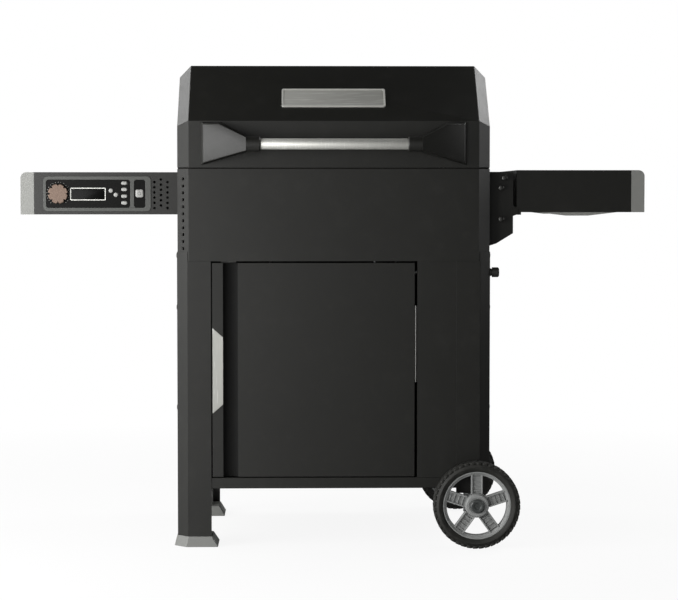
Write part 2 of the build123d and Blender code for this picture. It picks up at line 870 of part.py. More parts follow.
def controls():
    """Bezel, black face, display, dial, buttons and the board behind them."""
    middle_x = module_x + module_width / 2
    back = face_front
    bezel = rounded_y(module_width, module_height, bezel_corner, middle_x, control_z,
                      back - bezel_thickness, back)
    bay_height = module_height - 2 * bezel_top_rim
    bay_end = module_x + module_width - power_bay_margin
    first_end = bay_end - power_bay_width - bay_divider
    first_start = module_x + bezel_rim
    for start, end in ((first_start, first_end), (bay_end - power_bay_width, bay_end)):
        bezel -= rounded_y(end - start, bay_height, 6, (start + end) / 2, control_z,
                           back - bezel_thickness - 1, back + 1)
    rim = bezel_rim - face_lap + slide_gap
    face = block(module_x + rim, module_x + module_width - rim, face_front, face_back,
                 control_z - module_height / 2 + rim, control_z + module_height / 2 - rim)
    dial_x = module_x + dial_from_left
    face -= rod_y(dial_x, face_front - 1, face_back + 1, control_z, dial_shaft_radius + slide_gap)
    nodes = {}
    switches = []
    board_front = face_back + board_gap
    for name, kind, x, z in buttons():
        face -= button_shape(kind, x, z, slide_gap, face_front - 1, face_back + 1)
        flange_front = face_back + slide_gap
        cap = button_shape(kind, x, z, 0, face_front - button_height, flange_front)
        cap += button_shape(kind, x, z, button_flange, flange_front, flange_front + flange_thickness)
        nodes[name] = cap
        switch_front = flange_front + flange_thickness + button_travel + switch_gap
        switches.append(block(x - 3, x + 3, switch_front, board_front, z - 3, z + 3))
    board = block(module_x + 12, module_x + module_width - 14, board_front,
                  board_front + board_thickness, control_z - 30, control_z + 30)
    posts = [rod_y(module_x + x, face_back, board_front, control_z + z, 2.5)
             for x in (15, module_width - 18) for z in (-27, 27)]
    encoder = rod_y(dial_x, face_back + 1, board_front, control_z, 9)
    encoder -= rod_y(dial_x, face_back, board_front - 0.8, control_z, dial_shaft_radius + pin_gap)
    nodes.update({
        "control_bezel": bezel,
        "control_face": face,
        "circuit_board": group([board, encoder, *switches, *posts]),
        "dial": dial(dial_x, board_front),
        **display(),
    })
    return nodes


def dial(x, board_front):
    """Notched rotary dial on its shaft."""
    front = face_front - slide_gap - dial_height
    knob = rod_y(x, front, face_front - slide_gap, control_z, dial_radius)
    edge = [e for e in knob.edges() if abs(e.center().Y - front) < 0.01]
    knob = chamfer(edge, 2)
    for index in range(dial_range_notches):
        angle = 2 * math.pi * index / dial_range_notches
        knob -= rod_y(x + dial_radius * math.cos(angle), front - 1, face_front,
                      control_z + dial_radius * math.sin(angle), 1.6)
    return knob + rod_y(x, face_front - slide_gap - 1, board_front - 1, control_z, dial_shaft_radius)


def display():
    """Bright frame with a clear lens inside it."""
    x = module_x + display_left + display_width / 2
    frame = rounded_y(display_width, display_height, 2, x, control_z - 0.7,
                      face_front - display_thickness, face_front)
    hole = rounded_y(display_width - display_rim, display_height - display_rim, 1, x, control_z - 0.7,
                     face_front - display_thickness - 1, face_front + 1)
    lens = rounded_y(display_width - display_rim, display_height - display_rim, 1, x, control_z - 0.7,
                     face_front - display_thickness + 0.4, face_front)
    return {"display": group([frame - hole, lens])}


# Blower


def blower():
    """Housing, motor, fan wheel, duct, probe and igniter."""
    right = -half_width - 2
    left = right - blower_length
    front, back = blower_front, blower_front + blower_depth
    low, high = blower_z - blower_length / 2, blower_z + blower_length / 2
    wall = blower_wall
    housing = block(left, right, front, back, low, high)
    housing -= block(left + wall, right - wall, front + wall, back - wall, low + wall, high - wall)
    middle = (left + right) / 2
    housing -= rod_y(middle, front - 1, front + wall + 1, blower_z, blower_intake)
    housing -= rod_y(middle, back - wall - 1, back + 1, blower_z, fan_shaft_radius + slide_gap)
    duct_z = blower_z - duct_drop
    housing -= block(right - wall - 1, right + 1, blower_y - duct_width / 2 - slide_gap,
                     blower_y + duct_width / 2 + slide_gap, duct_z - duct_height / 2 - slide_gap,
                     duct_z + duct_height / 2 + slide_gap)
    motor = rod_y(middle, back, back + motor_length, blower_z, motor_radius)
    motor -= rod_y(middle, back - 1, back + motor_length - 3, blower_z, fan_shaft_radius + pin_gap)
    duct_start, duct_end = right - wall, -basket_length / 2
    duct = block(duct_start, duct_end, blower_y - duct_width / 2, blower_y + duct_width / 2,
                 duct_z - duct_height / 2, duct_z + duct_height / 2)
    inner_w, inner_h = duct_width / 2 - duct_wall, duct_height / 2 - duct_wall
    duct -= block(duct_start - 1, duct_end + 1, blower_y - inner_w, blower_y + inner_w,
                  duct_z - inner_h, duct_z + inner_h)
    return {
        "blower": group([housing, motor]),
        "fan_wheel": fan_wheel(middle, front, back),
        "air_duct": duct,
        **fire_sensors(),
    }


def fan_wheel(x, front, back):
    """Drum of straight blades on a back plate, hub and shaft."""
    start = front + blower_wall + 4
    end = start + fan_width
    wheel = rod_y(x, start, end, blower_z, fan_hub)
    wheel += rod_y(x, end - 2, end, blower_z, fan_radius)
    for index in range(fan_blades):
        blade = block(fan_hub - 2, fan_radius, start, end, -fan_blade_thickness / 2, fan_blade_thickness / 2)
        wheel += Pos(x, 0, blower_z) * Rot(0, 360 / fan_blades * index, 0) * blade
    return wheel + rod_y(x, end - 1, back + motor_length - 4, blower_z, fan_shaft_radius)


def fire_sensors():
    """Temperature probe through the left wall and the igniter on its bracket."""
    y = -blower_y
    x = -half_width
    probe = rod_x(x - 2 - 14, x + probe_length, y, probe_height, probe_radius)
    probe += rod_x(x - 2 - 6, x - 2, y, probe_height, 2.4 * probe_radius)
    basket_floor = floor_level + sheet + basket_lift
    z = basket_floor + igniter_height
    start = -basket_length / 2 - 24
    rod = rod_x(start - 26, start - 26 + igniter_length, y, z, igniter_radius)
    bracket_low = floor_level + sheet
    bracket = block(start - 14, start - 12, y - 16, y + 16, bracket_low, z + 14)
    bracket += block(start - 34, start - 12, y - 16, y + 16, bracket_low, bracket_low + 2)
    bracket -= rod_x(start - 30, start, y, z, igniter_radius + pin_gap)
    return {"temperature_probe": probe, "igniter": group([rod, bracket])}


# Fire and cooking parts


def fire_parts():
    """Charcoal basket on rails, heat plates, grates and warming rack."""
    x, y = basket_length / 2, basket_depth / 2
    low = floor_level + sheet + basket_lift
    high = low + basket_height
    wall = basket_sheet
    tray = block(-x, x, -y, y, low, low + wall)
    step = (basket_length - 2 * basket_margin) / basket_slots
    for index in range(basket_slots):
        middle = (index - (basket_slots - 1) / 2) * step
        tray -= block(middle - 6, middle + 6, -y + basket_margin, y - basket_margin, low - 1,
                      low + wall + 1)
    side = block(-x + wall, x - wall, y - wall, y, low + wall, high)
    right_end = block(x - wall, x, -y, y, low + wall, high)
    left_end = mirror_x(right_end)
    left_end -= rod_x(-x - 1, -x + wall + 1, -blower_y, low + igniter_height, igniter_radius + slide_gap)
    duct_z = blower_z - duct_drop
    left_end -= block(-x - 1, -x + wall + 1, blower_y - duct_width / 2 + duct_wall,
                      blower_y + duct_width / 2 - duct_wall, duct_z - duct_height / 2 + duct_wall,
                      duct_z + duct_height / 2 - duct_wall)
    plates = [tray, side, mirror_y(side), left_end, right_end]
    rails = [block(-x + 10, x - 10, side * (y - 12) - 4, side * (y - 12) + 4, floor_level + sheet, low)
             for side in (-1, 1)]
    return {
        "charcoal_basket": group([*plates, *rails]),
        "heat_plates": heat_plates(),
        **grates(),
        "warming_rack": warming_rack(),
    }


def heat_plates():
    """Bent plates over the fire that spread the heat."""
    reach = half_depth - sheet - 2
    shapes = []
    span = 2 * (half_width - corner_cut) / diffuser_count
    for index in range(diffuser_count):
        middle = (index - (diffuser_count - 1) / 2) * span
        half, rise, low = diffuser_width / 2, diffuser_rise, diffuser_level
        outline = [(middle - half, low), (middle, low + rise), (middle + half, low),
                   (middle + half, low + sheet), (middle, low + rise + sheet), (middle - half, low + sheet)]
        shapes.append(prism_y(outline, -reach, reach))
    return group(shapes)


def grate(start, end):
    """Open bar grate between two X positions."""
    low, high = grate_top - grate_height, grate_top
    y = half_depth - sheet - 1
    bar = grate_bar
    shape = block(start, end, -y, -y + bar, low, high) + block(start, end, y - bar, y, low, high)
    shape += block(start, start + bar, -y, y, low, high) + block(end - bar, end, -y, y, low, high)
    count = int((end - start - bar) / grate_pitch)
    pitch = (end - start - bar) / count
    for index in range(1, count):
        x = start + index * pitch
        shape += block(x, x + bar, -y + 1, y - 1, low + 1, high)
    return shape + block(start + 1, end - 1, -bar / 2, bar / 2, low + 1, high - 2)


def grates():
    """Left and right cooking grates."""
    end = half_width - corner_cut - grate_end_gap
    gap = grate_split_gap / 2
    return {"cooking_grates": group([grate(-end, -gap), grate(gap, end)])}


def warming_rack():
    """Raised rack over the back half of the grates, on four separate feet."""
    x, r, w = rack_length / 2, rack_rail, rack_wire
    back = half_depth - rack_from_back
    front = back - rack_depth
    z = grate_top + rack_height
    shape = block(-x, x, front, back, z - r, z)
    pitch = (2 * x - 2 * w) / (rack_wires + 1)
    for index in range(rack_wires + 1):
        start = -x + 2 * w + index * pitch
        shape -= block(start, start + pitch - 2 * w, front + 2 * r, back - 2 * r, z - r - 1, z + 1)
    rack_feet = [block(foot_x, foot_x + 2 * w, y, y + 2 * w, grate_top, z - r)
                 for foot_x in (-x, x - 2 * w) for y in (front, back - 2 * w)]
    return group([shape, *rack_feet])


# Ash damper


def ash_parts():
    """Slotted damper plate with its pull rod, guides, rails and ash bin."""
    top = floor_level - slide_gap
    low = top - damper_sheet
    half_x = slot_span / 2 + damper_margin
    half_y = slot_length / 2 + damper_margin
    plate = block(-half_x - damper_travel / 2, half_x, -half_y, half_y, low, top)
    for index in range(slot_count):
        x = (index - (slot_count - 1) / 2) * slot_pitch - damper_travel * 1.5
        plate -= block(x - slot_width / 2, x + slot_width / 2, -slot_length / 2, slot_length / 2,
                       low - 1, top + 1)
    arm_y = damper_y - 10
    plate += block(half_x - 45, half_x, arm_y, -half_y + 1, low, top)
    plate += block(half_x - 3, half_x, arm_y, arm_y + 20, rod_height - 9, top)
    knob_start = leg_outer_x + bushing_length + slide_gap
    rod = rod_x(half_x, knob_start + 2, damper_y, rod_height, rod_radius)
    knob = rod_x(knob_start + 2, knob_start + knob_length, damper_y, rod_height, knob_radius)
    knob = fillet([e for e in knob.edges() if abs(e.center().X - knob_start - knob_length) < 0.01], 4)
    knob += rod_x(knob_start, knob_start + 3, damper_y, rod_height, knob_radius * 0.7)
    knob -= rod_x(knob_start - 1, knob_start + 2, damper_y, rod_height, rod_radius)
    bushing = rod_x(leg_outer_x, leg_outer_x + bushing_length, damper_y, rod_height, bushing_radius)
    bushing -= rod_x(leg_outer_x - 1, leg_outer_x + 9, damper_y, rod_height, rod_radius + pin_gap)
    return {
        "ash_damper": plate + rod,
        "damper_knob": knob,
        "rod_bushing": bushing,
        "damper_and_bin_rails": group(damper_guides(low, half_x, half_y) + bin_rails(low)),
        "ash_bin": ash_bin(low),
    }


def damper_guides(low, half_x, half_y):
    """Z-shaped guides under the firebox floor."""
    edge = half_y + slide_gap
    under = low - slide_gap
    outline = [(edge, floor_level), (edge + 16, floor_level), (edge + 16, under - sheet),
               (edge - 8, under - sheet), (edge - 8, under), (edge, under)]
    guide = prism_x(outline, -half_x - 45, half_x + 45)
    arm_way = block(half_x - 47, half_x + damper_travel + 2, -edge - 17, -edge + 1, under, floor_level + 1)
    return [guide, mirror_y(guide) - arm_way]


def bin_rails(low):
    """Angle rails that the ash bin's lips slide on, hung from the guides."""
    top = low - slide_gap - sheet
    outer = bin_length / 2 + bin_lip + 2
    level = top - bin_drop
    outline = [(outer, level - sheet), (outer - bin_lip, level - sheet), (outer - bin_lip, level),
               (outer - sheet, level), (outer - sheet, top - sheet), (outer - bin_lip, top - sheet),
               (outer - bin_lip, top), (outer, top)]
    rail = prism_y(outline, -bin_depth / 2 - 5, bin_depth / 2 + 5)
    return [rail, mirror_x(rail)]


def ash_bin(low):
    """Open bin with side lips that rest on the rails."""
    level = low - slide_gap - sheet - bin_drop
    x, y = bin_length / 2, bin_depth / 2
    top = level + sheet
    shape = block(-x, x, -y, y, top - bin_height, top)
    shape += block(-x - bin_lip + 1, x + bin_lip - 1, -y, y, level, top)
    return shape - block(-x + sheet, x - sheet, -y + sheet, y - sheet, top - bin_height + sheet, top + 1)


# Right shelf


def right_bracket():
    """Front bracket: a cut plate with a flange on the body's side."""
    x0, x1 = half_width, half_width + bracket_width
    y = -shelf_half + sheet + 0.5
    cut_x, cut_z = x1 - bracket_cut_width, bracket_bottom + bracket_cut_height
    reach = fold_x + fold_lobe - 2
    outline = [(x0, bracket_bottom), (cut_x, bracket_bottom + 6), (x1, cut_z),
               (x1, fold_z - 12), (reach, fold_z - 7), (reach, fold_z + 7), (x1, fold_z + 12),
               (x1, bracket_top), (x0, bracket_top)]
    shape = prism_y(outline, y, y + bracket_thickness)
    shape += block(x0, x0 + bracket_thickness, y, y + bracket_flange, bracket_bottom, bracket_top)
    shape -= rod_y(fold_x, y - 1, y + bracket_thickness + 1, fold_z, fold_pin_radius + pin_gap)
    return shape


def right_shelf():
    """Folding shelf: a pan with pivot lobes, end cap, brace and pins."""
    start, end = half_width + right_shelf_start, cap_start
    top, low = right_shelf_top, right_shelf_top - side_shelf_height
    y = shelf_half
    shelf = block(start, end, -y, y, top - sheet, top)
    flange = block(start, end, -y, -y + sheet, low, top)
    flange += rod_y(fold_x, -y, -y + sheet, fold_z, fold_lobe)
    flange += block(fold_x, start + 10, -y, -y + sheet, fold_z - fold_lobe, fold_z + fold_lobe)
    flange -= rod_y(fold_x, -y - 1, -y + sheet + 1, fold_z, fold_pin_radius + pin_gap)
    inner = block(start, start + sheet, -y + 15, y - 15, low + 6, top)
    outer = block(end - sheet, end, -y, y, low, top)
    shelf += flange + mirror_y(flange) + inner + outer
    pins = []
    for side in (-1, 1):
        a, b = side * (y + 2), side * (y - sheet - 0.5 - bracket_thickness - 2)
        pin = rod_y(fold_x, a, b, fold_z, fold_pin_radius)
        pin += rod_y(fold_x, side * (y + slide_gap), side * (y + 2.5), fold_z, fold_pin_radius + 3)
        pin += rod_y(fold_x, b, side * (y - sheet - 0.5 - bracket_thickness - slide_gap), fold_z,
                     fold_pin_radius + 2)
        pins.append(pin)
    x0 = start + brace_start
    x1 = x0 + brace_length
    middle = (x0 + x1) / 2
    flat = brace_flat / 2
    outline = [(x0, low), (middle - flat, low - brace_drop), (middle + flat, low - brace_drop), (x1, low),
               (x1, low + brace_rise), (x0, low + brace_rise)]
    brace = prism_y(outline, -y + sheet, -y + sheet + brace_thickness)
    front = right_bracket()
    return {
        "right_shelf": shelf,
        "right_shelf_end_cap": end_cap(top),
        "right_shelf_braces": group([brace, mirror_y(brace)]),
        "shelf_brackets": group([front, mirror_y(front), *pins]),
    }


def bracket_bolts():
    """Domed bolt heads on the outer faces of both brackets."""
    y = shelf_half - sheet - 0.5
    shapes = []
    for x, z in bracket_bolt_places:
        for side in (-1, 1):
            head = rod_y(half_width + x, side * y, side * (y + screw_head_height), bracket_top - z,
                         screw_head_radius)
            shapes.append(head)
    return shapes


# Wheels


def tyre():
    """Rubber tyre with cross grooves, centred on the axle with its middle plane at Y = 0."""
    half = wheel_width / 2
    inner = wheel_radius - tyre_thickness
    shape = rod_y(0, -half, half, 0, wheel_radius)
    shape = fillet([e for e in shape.edges() if e.geom_type == GeomType.CIRCLE], 7)
    shape -= rod_y(0, -half - 1, half + 1, 0, inner)
    for index in range(tread_blocks):
        groove = block(wheel_radius - tread_depth, wheel_radius + 2, 4, half + 1, -2, 2)
        turn = 360 / tread_blocks * index
        shape -= Rot(0, turn, 0) * groove
        shape -= Rot(0, turn + 180 / tread_blocks, 0) * mirror_y(groove)
    return shape


def rim():
    """Rim ring, hub and five grooved spokes."""
    outer = wheel_radius - tyre_thickness
    half = rim_width / 2
    ring = rod_y(0, -half, half, 0, outer) - rod_y(0, -half - 1, half + 1, 0, outer - rim_wall)
    hub_half = wheel_width / 2
    shape = ring + rod_y(0, -hub_half, hub_half, 0, hub_radius)
    for index in range(spoke_count):
        spoke = block(-spoke_width / 2, spoke_width / 2, -half + 4, -half + 4 + spoke_depth,
                      hub_radius - 3, outer - rim_wall + 1)
        groove = block(-spoke_groove / 2, spoke_groove / 2, -half + 3, -half + 4 + spoke_depth / 2,
                       hub_radius + 4, outer - rim_wall - 4)
        shape += Rot(0, 360 / spoke_count * index, 0) * (spoke - groove)
    return shape - rod_y(0, -hub_half - 1, hub_half + 1, 0, axle_radius + pin_gap)


def hub_cap():
    """Cup that covers the axle's end."""
    face = -wheel_width / 2
    cup = rod_y(0, face - cap_height + tread_depth, face, 0, cap_radius)
    edge = [e for e in cup.edges() if abs(e.center().Y - face + cap_height - tread_depth) < 0.01]
    cup = fillet(edge, 3)
    return cup - rod_y(0, face - cap_height + tread_depth + cap_wall, face + 1, 0, cap_radius - cap_wall)


def wheels():
    """Front and rear wheels, axle, spacers, nuts and brackets."""
    middle = -(wheel_inner + wheel_width / 2)
    place = Pos(axle_from_middle, middle, wheel_radius)
    nodes = {}
    for name, shape in (("tyre", tyre()), ("rim", group([rim(), hub_cap()]))):
        placed = place * shape
        nodes[f"front_{name}"] = placed
        nodes[f"rear_{name}"] = mirror_y(placed)
    x, z = axle_from_middle, wheel_radius
    end = wheel_outer + nut_height + 1
    nodes["axle"] = rod_y(x, -end, end, z, axle_radius)
    inner_y = leg_outer_y - leg_proud
    bracket_top_z = shelf_top - rail_height
    width = axle_bracket_width
    bracket_x = leg_line - leg_proud * math.sqrt(2) - inner_y
    bracket = block(bracket_x - width, bracket_x, -inner_y, -inner_y + axle_bracket_thickness,
                    z - axle_bracket_drop, bracket_top_z)
    bracket -= rod_y(x, -inner_y - 1, -inner_y + axle_bracket_thickness + 1, z, axle_radius + pin_gap)
    spacer = rod_y(x, -wheel_inner + slide_gap, -inner_y, z, axle_radius + 5)
    spacer -= rod_y(x, -wheel_inner - 1, -inner_y + 1, z, axle_radius + pin_gap)
    nut = rod_y(x, -wheel_outer - slide_gap - nut_height, -wheel_outer - slide_gap, z, nut_radius)
    nut -= rod_y(x, -end - 1, -wheel_outer + 1, z, axle_radius + pin_gap)
    hardware = [bracket, spacer, nut]
    nodes["axle_hardware"] = group(hardware + [mirror_y(piece) for piece in hardware])
    return nodes


def build():
    """Every node of the grill."""
    nodes = {}
    for part in (firebox, lid, legs, cabinet, door, left_shelf, controls, blower, fire_parts,
                 ash_parts, right_shelf, wheels):
        nodes.update(part())
    nodes["lid_hinge_frame_leaves"] = group(body_leaves() + lid_pins())
    nodes["screws"] = group(side_screws() + bracket_bolts())
    return nodes


os.makedirs("parts", exist_ok=True)
for node, shape in build().items():
    export_step(Pos(0, footprint_shift, 0) * shape, f"parts/{node}.step")
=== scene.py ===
from math import atan, cos, pi, radians, sin

import bmesh
import bpy
from mathutils import Matrix, Vector


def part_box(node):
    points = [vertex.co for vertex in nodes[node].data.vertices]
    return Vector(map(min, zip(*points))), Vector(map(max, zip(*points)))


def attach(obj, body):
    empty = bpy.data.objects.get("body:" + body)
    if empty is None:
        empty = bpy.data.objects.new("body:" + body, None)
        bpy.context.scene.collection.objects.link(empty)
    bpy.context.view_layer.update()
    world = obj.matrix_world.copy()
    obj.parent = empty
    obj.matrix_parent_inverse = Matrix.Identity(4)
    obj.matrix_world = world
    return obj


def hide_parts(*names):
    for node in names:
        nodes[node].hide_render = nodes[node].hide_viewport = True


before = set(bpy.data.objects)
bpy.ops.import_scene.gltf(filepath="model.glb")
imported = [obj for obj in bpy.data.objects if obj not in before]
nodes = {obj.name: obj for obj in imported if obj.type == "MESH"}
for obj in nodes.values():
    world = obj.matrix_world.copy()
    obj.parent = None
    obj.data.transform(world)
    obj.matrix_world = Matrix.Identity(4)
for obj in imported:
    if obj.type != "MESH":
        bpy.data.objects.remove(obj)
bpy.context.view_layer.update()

print("frame loaded:", len(nodes), "CAD nodes")


# A socket that can be used in ordinary arithmetic
class Wire:
    def __init__(self, finish, socket):
        self.finish = finish
        self.socket = socket

    def maths(self, operation, *values):
        return self.finish.node("ShaderNodeMath", {"operation": operation}, dict(enumerate(values)))

    def __add__(self, other):
        return self.maths("ADD", self, other)

    def __sub__(self, other):
        return self.maths("SUBTRACT", self, other)

    def __mul__(self, other):
        return self.maths("MULTIPLY", self, other)

    def __rsub__(self, other):
        return self.maths("SUBTRACT", other, self)

    __radd__ = __add__
    __rmul__ = __mul__


# A material being put together: point() is the place on the piece in metres
class Finish:
    def __init__(self, name, world=None):
        self.material = world or bpy.data.materials.new(name)
        self.material.use_nodes = True
        self.tree = self.material.node_tree
        self.shader = self.tree.nodes["Background" if world else "Principled BSDF"]

    def node(self, kind, settings=None, sockets=None, out=0):
        made = self.tree.nodes.new(kind)
        for key, value in (settings or {}).items():
            if key == "stops":
                ramp = made.color_ramp.elements
                while len(ramp) < len(value):
                    ramp.new(0.5)
                for stop, (place, shade) in zip(ramp, value):
                    stop.position = place
                    stop.color = (shade, shade, shade, 1)
            else:
                setattr(made, key, value)
        for key, value in (sockets or {}).items():
            self.plug(made.inputs[key], value)
        return Wire(self, made.outputs[out])

    def plug(self, socket, value):
        if isinstance(value, Wire):
            self.tree.links.new(value.socket, socket)
        elif isinstance(value, tuple) and len(value) == 3 and socket.type == "RGBA":
            socket.default_value = (*value, 1)
        else:
            socket.default_value = value

    def point(self, centre=(0, 0, 0), stretch=(1, 1, 1), turn=(0, 0, 0)):
        place = self.node("ShaderNodeTexCoord", out=3)
        shift = tuple(-c * s for c, s in zip(centre, stretch)) if turn == (0, 0, 0) else (0, 0, 0)
        return self.node("ShaderNodeMapping", {}, {"Vector": place, "Location": shift, "Scale": stretch,
                                                   "Rotation": turn})

    def noise(self, scale, detail=3, rough=0.55, **where):
        return self.node("ShaderNodeTexNoise", {}, {"Vector": self.point(**where), "Scale": scale,
                                                    "Detail": detail, "Roughness": rough})

    def cells(self, scale, feature="F1", **where):
        return self.node("ShaderNodeTexVoronoi", {"feature": feature},
                         {"Vector": self.point(**where), "Scale": scale})

    def bricks(self, scale, sizes, offset):
        sockets = {"Vector": self.point(turn=(pi / 2, 0, 0)), "Scale": scale, "Color1": (0, 0, 0),
                   "Color2": (0, 0, 0), "Mortar": (1, 1, 1), **sizes}
        return self.node("ShaderNodeTexBrick", {"offset": offset}, sockets)

    def ramp(self, value, *stops):
        return self.node("ShaderNodeValToRGB", {"stops": stops}, {"Fac": value})

    def blend(self, share, first, second):
        return self.node("ShaderNodeMix", {"data_type": "RGBA"}, {0: share, 6: first, 7: second}, out=2)

    def relief(self, height, strength, depth):
        return self.node("ShaderNodeBump", {}, {"Height": height, "Strength": strength, "Distance": depth})

    def set(self, **values):
        names = {"colour": "Base Color", "rough": "Roughness", "metal": "Metallic", "normal": "Normal",
                 "coat": "Coat Weight", "specular": "Specular IOR Level"}
        for key, value in values.items():
            self.plug(self.shader.inputs[names[key]], value)
        return self.material


def powderPaint(name, look):
    fin = Finish(name)
    broad = fin.noise(3.5, 2)
    skin = fin.noise(look["grain"], 4, 0.6)
    fleck = fin.ramp(fin.noise(2600, 1), (0.66, 0), (0.76, 1))
    dust = fin.ramp(fin.noise(26, 6, 0.68), (0.52, 0), (0.86, 1))
    colour = fin.blend(broad, look["dark"], look["light"])
    colour = fin.blend(fleck * 0.35, colour, look["fleck"])
    colour = fin.blend(dust * look["dust"], colour, look["dustColour"])
    return fin.set(colour=colour, rough=skin * 0.16 + dust * 0.10 + look["rough"], specular=look["specular"],
                   normal=fin.relief(skin, look["relief"], 0.00012))


# The door's paint, with painted shade: nearly black in the upright groove behind its pull, where the recess
# lies in shadow
def paintWithGrooveShade(name, look, groove):
    fin = Finish(name)
    skin = fin.noise(look["grain"], 4, 0.6)
    dust = fin.ramp(fin.noise(26, 6, 0.68), (0.52, 0), (0.86, 1))
    across = fin.node("ShaderNodeSeparateXYZ", {}, {0: fin.point(centre=groove["middle"])})
    # Mask of the painted shade across the recess behind the pull
    shade = fin.ramp(across.maths("ABSOLUTE", across), (groove["half"] * 0.90, 1), (groove["half"], 0))
    colour = fin.blend(fin.noise(3.5, 2), look["dark"], look["light"])
    colour = fin.blend(dust * look["dust"], colour, look["dustColour"])
    return fin.set(colour=fin.blend(shade, colour, groove["shade"]),
                   rough=skin * 0.16 + shade * 0.5 + look["rough"], specular=look["specular"],
                   normal=fin.relief(skin, look["relief"], 0.00012))


satinLook = {"dark": (0.0070, 0.0070, 0.0058), "light": (0.0105, 0.0105, 0.0090), "fleck": (0.045, 0.045, 0.04),
             "dustColour": (0.09, 0.086, 0.078), "dust": 0.05, "rough": 0.34, "specular": 0.31,
             "grain": 420, "relief": 0.34}
blackPaint = powderPaint("satinBlackPowderPaint", satinLook)
# Painted shade: the door colour goes nearly black over the shadowed recess behind the pull
pullGroovePaintedShade = {"middle": (-0.2380, 0, 0), "half": 0.0176, "shade": (0.0012, 0.0012, 0.0010)}
doorPaintWithGrooveShade = paintWithGrooveShade("satinBlackDoorPaintGrooveShade", satinLook, pullGroovePaintedShade)
castPaint = powderPaint("castArmBlackPaint", {**satinLook, "grain": 260, "relief": 0.55, "rough": 0.38})


def brushedSteel(name, look, stretch):
    fin = Finish(name)
    lines = fin.noise(look["grain"], 5, 0.72, stretch=stretch)
    hair = fin.ramp(fin.noise(look["grain"] * 0.45, 2, stretch=stretch), (0.60, 0), (0.68, 1))
    smear = fin.noise(14, 4)
    colour = fin.blend(lines, look["dark"], look["light"])
    colour = fin.blend(hair * 0.4, colour, look["scratch"])
    return fin.set(colour=colour, metal=look["metal"], rough=lines * 0.16 + smear * 0.10 + look["rough"],
                   normal=fin.relief(lines - hair * 0.5, 0.22, 0.00008))


steelLook = {"dark": (0.46, 0.46, 0.43), "light": (0.66, 0.66, 0.62), "scratch": (0.80, 0.80, 0.77),
             "grain": 900, "rough": 0.17, "metal": 1.0}
barSteel = brushedSteel("turnedStainlessBar", {**steelLook, "metal": 0.7, "rough": 0.38}, (1.6, 0.10, 0.10))
plateSteel = brushedSteel("brushedStainlessBadge", {**steelLook, "rough": 0.36, "metal": 0.35}, (0.03, 1, 1))
fieldSteel = brushedSteel("brushedStainlessField", {**steelLook, "dark": (0.30, 0.30, 0.28),
                                                   "light": (0.42, 0.42, 0.39), "rough": 0.40,
                                                   "metal": 0.35}, (0.03, 1, 1))
pullSteel = brushedSteel("brushedStainlessPull", {**steelLook, "dark": (0.31, 0.31, 0.29),
                                                 "light": (0.46, 0.46, 0.43), "rough": 0.26}, (1, 1, 0.03))


def zincSteel(name, look):
    fin = Finish(name)
    spangle = fin.cells(look["spangle"], "F1")
    cloud = fin.noise(70, 5, 0.65)
    stain = fin.ramp(fin.noise(22, 6, 0.7), (0.50, 0), (0.78, 1))
    colour = fin.blend(spangle, look["dark"], look["light"])
    colour = fin.blend(stain * look["stain"], colour, look["stainColour"])
    return fin.set(colour=colour, metal=1 - stain * look["stain"] * 0.8, rough=cloud * 0.22 + look["rough"],
                   normal=fin.relief(spangle + cloud * 0.6, 0.18, 0.00015))


zincLook = {"dark": (0.33, 0.34, 0.34), "light": (0.52, 0.53, 0.53), "stainColour": (0.14, 0.13, 0.12),
            "stain": 0.35, "spangle": 140, "rough": 0.28}
zinc = zincSteel("galvanisedSteel", zincLook)
boltZinc = zincSteel("blackenedBoltSteel", {**zincLook, "dark": (0.045, 0.045, 0.043),
                                           "light": (0.11, 0.11, 0.105), "stain": 0.15, "spangle": 600})


def castIron():
    fin = Finish("seasonedCastIron")
    pits = fin.cells(950)
    skin = fin.noise(320, 6, 0.7)
    colour = fin.blend(skin, (0.009, 0.0085, 0.008), (0.030, 0.028, 0.026))
    return fin.set(colour=colour, rough=skin * 0.3 + 0.45, metal=0.25,
                   normal=fin.relief(skin + pits * 0.7, 0.6, 0.0003))


def enamel():
    fin = Finish("speckledEnamel")
    speck = fin.ramp(fin.cells(700), (0.06, 1), (0.13, 0))
    wave = fin.noise(35, 3)
    return fin.set(colour=fin.blend(speck, (0.006, 0.006, 0.006), (0.16, 0.16, 0.15)), rough=wave * 0.15 + 0.12,
                   coat=0.4, normal=fin.relief(wave, 0.15, 0.0004))


def mouldedPlastic(name, look):
    fin = Finish(name)
    spark = fin.noise(look["grain"], 5, 0.7)
    tone = fin.noise(9, 3)
    rub = fin.ramp(fin.noise(55, 6, 0.72), (0.55, 0), (0.85, 1))
    colour = fin.blend(tone, look["dark"], look["light"])
    colour = fin.blend(rub * 0.12, colour, look["rubbed"])
    return fin.set(colour=colour, rough=spark * 0.18 + rub * 0.08 + look["rough"], specular=look["specular"],
                   metal=look["metal"], normal=fin.relief(spark, look["relief"], 0.0001))


